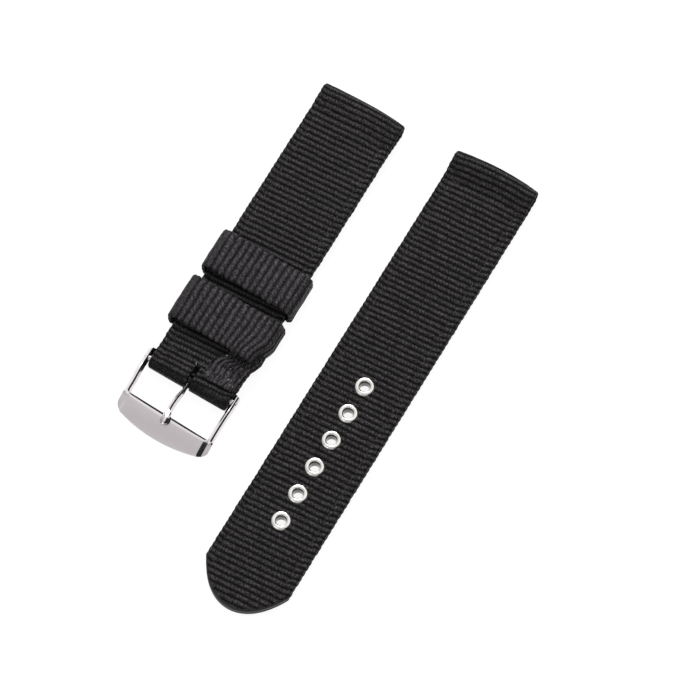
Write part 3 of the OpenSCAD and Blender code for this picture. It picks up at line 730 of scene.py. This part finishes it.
def put_tail(p, q, across):
    """Places a point of the tail half, whose lug end is at p = 0."""
    q += tip_rim(p, across) * 0.32 * (LAYER - q)
    return tail_origin + Vector((p - bowed_end(p, across, 0.85, 0.75), across, q)) * MM


tail_relief = strap_relief([seam_x["lug"]], False)


def tip_relief(p, q, out_q, across, rise):
    """The strap's relief, melted flat along the tip's cut."""
    return tail_relief(p, q, out_q, across, rise) * (1 - tip_rim(p, across))


tail_loop = [(x, LOOP_R + z) for x, z in loop_arc(-LOOP_R, LOOP_R, 2 * LAYER - LOOP_R, -LOOP_R)]
tail_course = ([(-TAIL_LEN - TAIL_SPARE, 2 * LAYER), (-LOOP_R - TUNNEL_FLANK, 2 * LAYER)]
               + tail_loop + [(-TAIL_LEN - TAIL_SPARE, 0)])
tail_cloth = woven_ribbon(tail_course, False, STRAP_HALF, LAYER - 0.01, RIB_PITCH, YARN,
                          RIB_DEPTH, COLUMNS, put_tail, lean=0.05, relief=tip_relief)

# %% [markdown]
# One more Boolean shears the tip round and punches the six holes. The melted rim along the cut is
# a second material on the same mesh.

# %% Shear the tip and punch the holes
HOLE_R, SHEAR_HALF, MELTED = 1.32, 10.8, 0.42
holes = bmesh.new()
offcut = [(-TAIL_LEN - 4, SHEAR_HALF)]
offcut += [(tip_edge(y), y) for y in [SHEAR_HALF * (1 - i / 30) for i in range(61)]]
offcut += [(-TAIL_LEN - 4, -SHEAR_HALF)]
edge_face = holes.faces.new([holes.verts.new(tail_origin + Vector((x, y, -3)) * MM)
                             for x, y in offcut])
pull_up(holes, [edge_face], 10 * MM)
eyelet_places = []
for i in range(1, 7):
    low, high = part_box(f"eyelet_{i}")
    place = Vector(((low.x + high.x) / 2, (low.y + high.y) / 2, 0))
    eyelet_places.append(place)
    bmesh.ops.create_cone(holes, segments=32, radius1=HOLE_R * MM, radius2=HOLE_R * MM,
                          depth=8 * MM, cap_ends=True, matrix=Matrix.Translation(place))
tail_half = finish_piece("tail_half_webbing", cut_with(tail_cloth, "tail_cloth", holes),
                         [webbing_nylon, sealed_nylon], "tail_half", ["tail_webbing"])
for face in tail_half.data.polygons:
    spot = (face.center - tail_origin) / MM
    if spot.x - tip_edge(spot.y) < MELTED:
        face.material_index = 1

# %% [markdown]
# ## The keepers
# A keeper is a band of a coarser ribbon, closed round the strap. Its ribs cross its own ribbon,
# so on top they run along the strap. The course is now drawn in the strap's cross-section.

# %% Weave the keepers
KEEPER_T, KEEPER_PITCH, KEEPER_YARN, CROWN_R, FOOT_R = 0.9, 1.57, 1.25, 2.4, 1.5
KEEPER_SHIFT, KEEPER_SHEAR, TAB_PULL = 0.4, 0.5, 1.85


def keeper_course(half, low, high):
    """The outer side of a keeper, clockwise, as [across the strap, up]."""
    crown_y, crown_z, foot_y, foot_z = half - CROWN_R, high - CROWN_R, half - FOOT_R, low + FOOT_R
    return (arc((crown_y, crown_z), CROWN_R, 90, 0, 10) + arc((foot_y, foot_z), FOOT_R, 0, -90, 8)
            + arc((-foot_y, foot_z), FOOT_R, -90, -180, 8)
            + arc((-crown_y, crown_z), CROWN_R, 180, 90, 10))


def make_keeper(name, node, half, low, high, middle, length, pull, body):
    """Weaves a keeper whose ribbon is length wide, with its middle at x = middle."""
    def put(p, q, across):
        upper = smooth_step(low + 1.2, high - 0.6, q)
        end = 2 * across / length
        sag = upper * (0.45 * (1 - (p / half) ** 2) + 0.30 * abs(end) ** 3)
        drawn = pull * smooth_step(0.15, -0.9, end) * smooth_step(0, -half, p)
        ripple = 0.12 * uneven(p * 0.8, end * 3, q * 0.5 + half)
        return Vector((middle + (across + KEEPER_SHEAR * p / half + ripple) * MM,
                       buckle_origin.y + (p + drawn) * MM, (q - sag) * MM))

    def relief(p, q, out_q, across, rise):
        taut = smooth_step(half - 2.6, half - 1.4, p)
        return (rise * (0.55 + 0.45 * smooth_step(0.2, 0.8, out_q)) * (1 - 0.7 * taut)
                + 0.08 * uneven(p * 0.6, across * 0.6, q * 0.6))
    cloth = woven_ribbon(keeper_course(half, low, high), True, length / 2, KEEPER_T,
                         KEEPER_PITCH, KEEPER_YARN, 0.30, 26, put, scallop=0.26, wander=0.20,
                         rows_per_rib=8, soft=2, relief=relief,
                         plain=lambda p, q, across: 0.9 * smooth_step(half - 2.4, half - 1.6, p))
    finish_piece(name, cloth, [keeper_nylon], body, [node])


fixed_low, fixed_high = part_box("fixed_keeper")
free_low, free_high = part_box("free_keeper")
FIXED_LEN = 10.9
FREE_LEN = (free_high.x - free_low.x) / MM - 0.35
band_back = fixed_high.x / MM + KEEPER_SHIFT - FIXED_LEN
for name, node, body, pull, length in (
        ("fixed_keeper_ribbon", "fixed_keeper", "buckle_half", TAB_PULL, FIXED_LEN),
        ("free_keeper_ribbon", "free_keeper", "sliding_keeper", 0.0, FREE_LEN)):
    low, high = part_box(node)
    make_keeper(name, node, (high.y - low.y) / 2 / MM, low.z / MM, high.z / MM,
                high.x + (KEEPER_SHIFT - length / 2) * MM, length - 0.1, pull, body)

# %% [markdown]
# The fixed keeper's end is sewn down beside the buckle. There the ribbon is pulled sideways and
# crumples, so it is one more short ribbon whose ribs go on from the keeper's: it lies on the
# strap, fans out under the band and narrows to the fold.

# %% Crumple the keeper's end tab
TAB_T, TAB_EDGE, TAB_INNER, TAB_LAP, TACKS = 0.7, 9.6, 1.8, 2.5, (-0.9, -3.0)
tab_front = fixed_low.x / MM
tab_back = band_back + TAB_LAP
tab_middle = (tab_front + tab_back) / 2


def strap_face(x):
    """Height of the strap's upper face at a place x in millimetres, up the fold's bulge."""
    from_axle = x - buckle_origin.x / MM - fold_x
    return top + 0.95 * smooth_step(FOLD_R + TUNNEL_FLANK - 2, 0.4, from_axle)


def put_tab(p, q, across):
    """Places a point of the tab: p runs across the strap and across runs along it."""
    x = tab_middle + across
    under_band = smooth_step(band_back - 4.2, band_back + 0.3, x)
    inner = smooth_step(-TAB_EDGE, -TAB_INNER, p)
    y = p - inner * 2.3 * under_band - (1 - inner) * TAB_PULL * under_band
    y += 0.25 * uneven(x * 0.5, p * 0.5, 2)
    crease = 0.36 * uneven(x * 0.42, p * 0.5, 5) + 0.24 * uneven(x, p, 8)
    z = strap_face(x) + TAB_T + q + crease * smooth_step(-1.0, 0.0, q)
    return Vector((x, buckle_origin.y / MM + y, z)) * MM


def tab_relief(p, q, out_q, across, rise):
    """Ribs that sink where the tack stitches pull them down."""
    for tack in TACKS:
        rise -= 0.25 * furrow(tab_middle + across - band_back - tack, 0.8)
    return rise


tab_cloth = woven_ribbon([(-TAB_EDGE, 0), (-TAB_INNER, 0)], False, (tab_back - tab_front) / 2,
                         TAB_T - 0.03, 1.3, KEEPER_YARN, 0.24, 24, put_tab, scallop=0.15,
                         wander=0.75, rows_per_rib=8, soft=2, relief=tab_relief)
finish_piece("fixed_keeper_tab", tab_cloth, [keeper_nylon], "buckle_half",
             ["fixed_keeper"])

# %% [markdown]
# ## Where the stitches lie
# The CAD nodes of the seams are rows of small bars, one for each stitch. Typing in over two
# hundred places would be slow and wrong soon, so they are read from those nodes: the vertices
# that hang together are one bar, and its middle and its longest way are the stitch's.

# %% Read the stitches
def stitch_places(node):
    """Centre and half length vector, in metres, of each bar in a CAD node."""
    loose = bmesh.new()
    loose.from_mesh(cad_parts[node].data)
    bmesh.ops.remove_doubles(loose, verts=loose.verts, dist=0.001 * MM)
    places, seen = [], set()
    for start in loose.verts:
        if start in seen:
            continue
        island, todo = [], [start]
        seen.add(start)
        while todo:
            vertex = todo.pop()
            island.append(vertex.co.copy())
            for edge in vertex.link_edges:
                other = edge.other_vert(vertex)
                if other not in seen:
                    seen.add(other)
                    todo.append(other)
        centre = sum(island, Vector()) / len(island)
        longest = max((a - b for a in island for b in island),
                      key=lambda d: Vector((d.x, d.y, 0)).length)
        ends = [v for v in island if (v - centre).dot(longest) > 0]
        places.append((centre, sum(ends, Vector()) / len(ends) - centre))
    loose.free()
    return places

# %% [markdown]
# ## Thread
# A stitch shows as a short bent cord whose ends dive into the cloth. There are over two hundred,
# so each has only a few dozen faces: a coarse sphere, drawn out along the seam and arched.

# %% Sew the seams
def sew(name, node, body, crown, thick):
    """One mesh of all the stitches of a seam."""
    thread = bmesh.new()
    halfway = (LAYER if body == "tail_half" else axle_z) * MM
    stitches = stitch_places(node)
    print(f"{node}: {len(stitches)} stitches")
    for centre, half in stitches:
        made = bmesh.ops.create_uvsphere(thread, u_segments=8, v_segments=6, radius=1)["verts"]
        along = half.normalized()
        side = Vector((0, 0, 1)).cross(along)
        face_up = 1 if centre.z > halfway else -1
        for vertex in made:
            t = vertex.co.z
            lift = crown * (1 - t * t) - 0.10 + vertex.co.y * 0.8 * thick
            vertex.co = (centre + along * half.length * 1.04 * t
                         + (side * vertex.co.x * thick + Vector((0, 0, lift * face_up))) * MM)
    finish_piece(name, thread, [thread_nylon], body, [node])


for name, node, body, crown, thick in (
        ("buckle_edge_thread", "buckle_edge_stitching", "buckle_half", 0.04, 0.17),
        ("buckle_lug_thread", "buckle_lug_seam", "buckle_half", 0.05, 0.18),
        ("fold_thread", "fold_seam", "buckle_half", 0.10, 0.19),
        ("keeper_tack_thread", "keeper_bartack", "buckle_half", 0.14, 0.19),
        ("tail_edge_thread", "tail_edge_stitching", "tail_half", 0.04, 0.17),
        ("tail_lug_thread", "tail_lug_seam", "tail_half", 0.05, 0.18)):
    sew(name, node, body, crown, thick)

# %% [markdown]
# Where the tack stitches were cut off, a few melted thread ends stand out as pale specks. They
# are short bent cords again, each with its own place and turn, and a paler nylon.

# %% Leave the cut ends
frayed_nylon, tree, shader = new_material("frayed_nylon", Roughness=0.6)
feed(tree, shader, Base_Color=ramp_node(
    tree, noise_node(tree, 2600, 3), [(0.35, (0.045, 0.043, 0.044)), (0.65, (0.30, 0.29, 0.29))]))
cut_ends = bmesh.new()
for x, y, turn, reach in (
        (-71.2, 0.8, 20, 0.45), (-70.2, -0.5, 75, 0.30), (-66.6, -4.1, 115, 0.40),
        (-71.4, -7.2, 150, 0.50), (-72.4, -8.9, 40, 0.35), (-68.9, -6.4, 95, 0.30)):
    along = Vector((math.cos(math.radians(turn)), math.sin(math.radians(turn)), 0))
    beside = along.cross(Vector((0, 0, 1)))
    foot = strap_face(buckle_origin.x / MM + x) + (TAB_T if y < -TAB_INNER else 0.0)
    made = bmesh.ops.create_uvsphere(cut_ends, u_segments=6, v_segments=6, radius=1)
    for vertex in made["verts"]:
        t = vertex.co.z
        height = foot + 0.12 + 0.14 * (1 - t * t) + 0.09 * vertex.co.y
        vertex.co = (buckle_origin + (Vector((x, y, height)) + along * reach * t
                                      + beside * (vertex.co.x * 0.11 + 0.12 * t * t)) * MM)
finish_piece("cut_thread_ends", cut_ends, [frayed_nylon], "buckle_half",
             ["keeper_bartack"])

# %% [markdown]
# ## The buckle's frame
# The real frame is stamped from plate, its edges are ground to narrow facets and its face is bent
# to an arch. The mesh takes the same way, so a few measures come first, from the bar outwards:
# the arms and their ends past the bar, the window, the crossbar, and the rounded corners.

# %% Measure the frame
ARM_IN, ARM_OUT, ARM_END = 9.8, 11.3, 2.3
WINDOW, REACH, CROSSBAR_BOW = 9.6, 15.05, 1.7
WINDOW_CORNER, OUTER_CORNER, END_CORNER = 0.6, 2.0, 1.0
pivot = buckle_origin + Vector((fold_x, 0, axle_z)) * MM
crescent_r = (ARM_OUT ** 2 + CROSSBAR_BOW ** 2) / (2 * CROSSBAR_BOW)


def frame_front(y):
    """How far the crossbar's front edge reaches at a place across."""
    return REACH - crescent_r + math.sqrt(crescent_r ** 2 - min(abs(y), ARM_OUT) ** 2)


def past_corner(along, beside, radius):
    """Distance past an outline with a rounded corner, and how much of it runs forwards."""
    ahead, aside = max(0.0, along + radius), max(0.0, beside + radius)
    far = math.hypot(ahead, aside)
    return far - radius, (ahead / far) ** 2 if far else 0.0

# %% [markdown]
# A bevel would grind facets quickly, but it gives every edge the same ones. Here the arms, the
# lip along the window and the crossbar's flanks each have their own, so the facets are a depth
# that depends on the distance from the edge.

# %% Grind the facets
FACET, FLANK = 0.33, (0, 0.95, 1.9)


def facet_drop(distance, *drops):
    """Depth of two narrow facets, at a distance from the edge that they follow."""
    return np.interp(distance, [0, FACET, 2 * FACET], [*drops, 0])


def face_drop(x, y):
    """How far the facets lie below the plate's flat upper face."""
    inner, forwards = past_corner(x - WINDOW, abs(y) - ARM_IN, WINDOW_CORNER)
    outer, ahead = past_corner(x - REACH, abs(y) - ARM_OUT, OUTER_CORNER)
    end = past_corner(-x - ARM_END, abs(y) - ARM_OUT, END_CORNER)[0]
    wide = smooth_step(WINDOW - 0.1, WINDOW + 1.0, x)
    arm, lip = (0.96, 0.33), (0.44, 0.06)
    return max(forwards * facet_drop(inner, *lip) + (1 - forwards) * facet_drop(inner, *arm),
               (1 - wide) * (1 - ahead) * facet_drop(-max(outer, end), *arm),
               wide * np.interp(ARM_OUT - abs(y), FLANK, [1.0, 0.76, 0]),
               ahead * np.interp(-outer, [0, FACET], [0.2, 0]))

# %% [markdown]
# The flat plate is bent point by point: lowered by its facets, widened at the lip, bowed along
# the front, turned a little askew, and laid on the arch. Past the bar the arms run level.

# %% Bend the plate
LIP, LEVEL_FROM, ARCH_R, ARCH_CREST = 1.4, 1.5, 22.0, 5.7
ARCH_Z = -math.sqrt(ARCH_R ** 2 - ARCH_CREST ** 2)


def bend_plate(x, y, h):
    """Puts a point of the flat plate on the arch; x runs out from the pivot."""
    if h > 0:
        h -= face_drop(x, y)
    forwards = past_corner(x - WINDOW, abs(y) - ARM_IN, WINDOW_CORNER)[1]
    if y > ARM_IN - 1:
        y += np.interp(x, [2.3, 7.0], [0.35, 0.0])
    if 0 < x - WINDOW < LIP:
        wider = np.interp(x - WINDOW, [0, FACET, 2 * FACET, LIP], [0, 0.46, 0.88, LIP])
        x += forwards * (wider - (x - WINDOW))
    if x > WINDOW:
        x = WINDOW + (x - WINDOW) * (frame_front(y) - WINDOW) / (REACH - WINDOW)
    x -= y * np.interp(x, [-ARM_END, 0, 2.4, 4.4, WINDOW, REACH],
                       [0.035, 0, 0, 0.025, 0.06, 0.03])
    on_arch = max(x, LEVEL_FROM)
    angle = math.asin(min(0.99, (on_arch - ARCH_CREST) / ARCH_R))
    reach = ARCH_R + h
    return pivot + Vector((on_arch - x - ARCH_CREST - reach * math.sin(angle), y,
                           ARCH_Z + reach * math.cos(angle))) * MM

# %% [markdown]
# The plate starts as an outline of eight corners. Bevels round them, two insets of the upper face
# follow the outline and carry the facets, and slices across let the plate bend. The crossbar's
# face is satin, which is a second material. A short round eye on each arm takes the bar. Edges
# where the faces turn by over 14 degrees are marked sharp, so the ground facets stay crisp.

# %% Stamp and bend the frame
FRAME_T, SHARP = 1.3, math.radians(14)
EYE_R, EYE_T, EYE_Y, EYE_ASIDE = 0.75, 1.3, 10.725, 0.175
plate = bmesh.new()
corners = [(-ARM_END, -ARM_OUT), (REACH, -ARM_OUT), (REACH, ARM_OUT), (-ARM_END, ARM_OUT),
           (-ARM_END, ARM_IN), (WINDOW, ARM_IN), (WINDOW, -ARM_IN), (-ARM_END, -ARM_IN)]
outline = [plate.verts.new((x, y, -FRAME_T / 2)) for x, y in corners]
plate.faces.new(outline)
rounded(plate, outline[1:3], OUTER_CORNER, 10)
rounded(plate, [outline[0], outline[3]], END_CORNER, 6)
rounded(plate, outline[5:7], WINDOW_CORNER, 8)
pull_up(plate, plate.faces[:], FRAME_T)
rims = [e for e in plate.edges if max(v.co.z for v in e.verts) < 0 and e.calc_face_angle(0) > 1.0]
rounded(plate, rims, 0.22, 2, "EDGES")
upper_face = [f for f in plate.faces if f.normal.z > 0.9]
for ring in range(2):
    bmesh.ops.inset_region(plate, faces=upper_face, thickness=FACET, use_boundary=True,
                           use_even_offset=True)
slice_across(plate, (1, 0, 0), np.arange(-1.2, REACH - 0.2, 0.6))
slice_across(plate, (0, 1, 0), [*np.arange(-8.0, 8.01, 0.8),
                                *(side * (ARM_OUT - d) for d in FLANK[1:] for side in (-1, 1))])
for face in plate.faces:
    middle = face.calc_center_median()
    dark_flank = FLANK[1] < ARM_OUT + middle.y < FLANK[2]
    if face.normal.z > 0.9 and middle.x > WINDOW + 2 * FACET and not dark_flank:
        face.material_index = 1
for vertex in plate.verts:
    vertex.co = bend_plate(*vertex.co)
for side in (-1, 1):
    centre = pivot + Vector((0, side * EYE_Y + EYE_ASIDE, 0)) * MM
    eye = bmesh.ops.create_cone(plate, segments=40, radius1=EYE_R * MM, radius2=EYE_R * MM,
                                depth=EYE_T * MM, cap_ends=True,
                                matrix=Matrix.Translation(centre)
                                @ Matrix.Rotation(math.pi / 2, 4, "X"))["verts"]
    rims = {e for v in eye for e in v.link_edges if e.calc_face_angle(0) > 1.0}
    rounded(plate, list(rims), 0.28 * MM, 3, "EDGES")
buckle = finish_piece("buckle_frame_polished", plate, [polished_steel, satin_steel], "frame",
                      ["buckle_frame"])
buckle.data.set_sharp_from_angle(angle=SHARP)

# %% [markdown]
# ## The tongue
# The tongue is one wire: curled round the bar, straight over the window, bent down over the
# crossbar and flattened at its end. A ring is extruded from station to station along that
# course. Each station says how wide and how thick the wire is there and which of three sections
# it has: a ridged shaft, a broad knuckle on the crossbar's edge, or the chisel head.

# %% Draw a wire
WIRE_R, HEAD_LEN, SEAT_DEPTH = 0.65, 2.5, 0.3
CURL_MID, CURL_THICK, CURL_WIDE, CURL_DARK = 1.38, 0.42, 0.47, 2.4
SHAFT = ((0.04, 1.0), (0.46, 0.54), (1.0, -0.62))
KNUCKLE = ((0.55, 1.0), (0.85, 0.5), (1.0, -0.62))
HEAD = ((0.2, 1.0), (0.66, 0.2), (1.0, -0.5))
UNDERSIDE = ((1.0, -0.7), (0.82, -0.87), (0.6, -0.97), (0.2, -1.0))


def crossbar_top(x):
    """Height of the crossbar's upper face over the pivot."""
    return ARCH_Z + math.sqrt((ARCH_R + FRAME_T / 2) ** 2 - (x - ARCH_CREST) ** 2)


def wire(stations):
    """Extrudes a ring along stations of (x, z, half width, half thickness, section)."""
    tongue = bmesh.new()
    ring = bmesh.ops.create_circle(tongue, segments=14, radius=1)["verts"]
    edges = list({e for v in ring for e in v.link_edges})
    bmesh.ops.contextual_create(tongue, geom=edges)
    for k, (x, z, wide, thick, section) in enumerate(stations):
        if k:
            made = bmesh.ops.extrude_edge_only(tongue, edges=edges)
            ring = made_verts(made)
            edges = [g for g in made["geom"] if isinstance(g, bmesh.types.BMEdge)
                     and g.verts[0] in ring and g.verts[1] in ring]
        before, after = stations[max(0, k - 1)], stations[min(len(stations) - 1, k + 1)]
        course = Vector((after[0] - before[0], 0, after[1] - before[1])).normalized()
        up = Vector((0, 1, 0)).cross(course)
        half = section + UNDERSIDE
        aside = np.interp(-x, [2.6, 6.4, 8.5, 10.5], [0.0, 0.42, 0.40, 0.0]) if z > 0 else 0.0
        for vertex, (v, w) in zip(ring, half + tuple((-v, w) for v, w in reversed(half))):
            vertex.co = pivot + (Vector((x, aside + v * wide, z)) + up * w * thick) * MM
    bmesh.ops.contextual_create(tongue, geom=edges)
    return tongue

# %% [markdown]
# The stations follow from the crossbar's height, so the head always rests on the crossbar. The
# curl sits in the fold, and its steel is painted near-black as painted shade.

# %% Draw the tongue
bend_x, tip_x = WINDOW + 0.3, WINDOW + HEAD_LEN - WIRE_R
bend = Vector((-bend_x, crossbar_top(bend_x) + WIRE_R - SEAT_DEPTH))
tip = Vector((-tip_x, crossbar_top(tip_x) + WIRE_R - SEAT_DEPTH / 2))
curl_end = Vector((0, CURL_MID))
stations = [(CURL_MID * math.sin(a), CURL_MID * math.cos(a), CURL_WIDE, CURL_THICK, SHAFT)
            for a in [math.radians(-340 + 340 * i / 30) for i in range(31)]]
for share in (0.15, 0.3, 0.45, 0.6, 0.75, 0.88):
    x, z = curl_end.lerp(bend, share)
    stations.append((x, z, np.interp(-x, [3.2, 4.5], [CURL_WIDE, WIRE_R + 0.08]),
                     np.interp(-x, [2.6, 5.0], [CURL_THICK, WIRE_R]), SHAFT))
stations += [(bend.x + 0.6, bend.y + 0.14, WIRE_R + 0.2, WIRE_R, KNUCKLE),
             (bend.x, bend.y + 0.24, WIRE_R + 0.3, WIRE_R, KNUCKLE)]
for share, wide in ((0.25, 1.02), (0.5, 1.1), (0.75, 1.1)):
    stations.append((*bend.lerp(tip, share), wide, WIRE_R - 0.05, HEAD))
for share, wide, thick in ((0.0, 1.05, 0.6), (0.4, 0.92, 0.56), (0.7, 0.66, 0.46),
                           (0.9, 0.40, 0.34), (1.0, 0.22, 0.2)):
    stations.append((tip.x - share * WIRE_R, tip.y - 0.3 * share * WIRE_R, wide, thick, HEAD))
tongue = finish_piece("tongue_wire", wire(stations), [polished_steel, curl_shade_steel], "tongue",
                      ["buckle_tongue"])
# Faces within CURL_DARK of the bar get the curl's painted shade.
for face in tongue.data.polygons:
    reach = (face.center - pivot) / MM
    if math.hypot(reach.x, reach.z) < CURL_DARK:
        face.material_index = 1
tongue.data.set_sharp_from_angle(angle=SHARP)

# %% [markdown]
# ## The sprung bar
# The bar's tube, coil spring and plungers already have their true shapes in the CAD model, so
# they only get their steel.

# %% Dress the bar
for node in ("spring_bar_tube", "spring_bar_spring", "spring_bar_plunger_left",
             "spring_bar_plunger_right"):
    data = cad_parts[node].data
    data.materials.clear()
    data.materials.append(plain_steel)

# %% [markdown]
# ## Eyelets and washers
# An eyelet is a thin tube with a rolled rim, so its profile is spun round its own axis. The
# profile starts as a few corners and a bevel rounds them, which is how the rim gets its soft
# highlight.

# %% Spin the eyelets
def spun(profile, place, kept, steps):
    """Spins a closed profile of (radius, height); its first kept corners stay sharp."""
    ring = bmesh.new()
    points = [ring.verts.new((r * MM, 0, z * MM)) for r, z in profile]
    ring.faces.new(points)
    rounded(ring, points[kept:], 0.1 * MM, 4)
    edges = ring.edges[:]
    bmesh.ops.delete(ring, geom=ring.faces[:], context="FACES_ONLY")
    bmesh.ops.spin(ring, geom=edges, cent=(0, 0, 0), axis=(0, 0, 1), angle=2 * math.pi,
                   steps=steps, use_merge=True)
    bmesh.ops.remove_doubles(ring, verts=ring.verts, dist=0.001 * MM)
    bmesh.ops.translate(ring, verts=ring.verts, vec=place)
    return ring


THROAT, BARREL, RIM, SUNK = 1.05, 1.27, 2.25, 2 * LAYER - 0.13
eyelet_profile = [(THROAT, 0.17), (THROAT, 1.93), (1.22, 2.60), (1.58, 2.76), (1.96, 2.64),
                  (RIM, 2.30), (RIM - 0.02, SUNK), (BARREL, SUNK), (BARREL, 0.27),
                  (1.62, 0.25), (1.60, 0.05), (1.2, 0.05)]
washer_profile = [(1.29, 0.29), (1.29, 0.51), (RIM, 0.51), (RIM, 0.29)]
for i, place in enumerate(eyelet_places, 1):
    finish_piece(f"eyelet_{i}_rolled", spun(eyelet_profile, place, 0, 48), [eyelet_steel],
                 "tail_half", [f"eyelet_{i}"])
    finish_piece(f"eyelet_{i}_washer_ring", spun(washer_profile, place, 2, 36), [plain_steel],
                 "tail_half", [f"eyelet_washer_{i}"])

# %% [markdown]
# ## The dressed strap's box
# The dressed strap has to fill the same box as the CAD model. The last line prints the dressed
# strap's box in millimetres.

# %% Print the box
low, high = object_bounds()
print("visual box in mm:", [round(v / MM, 1) for v in (*low, *high)])
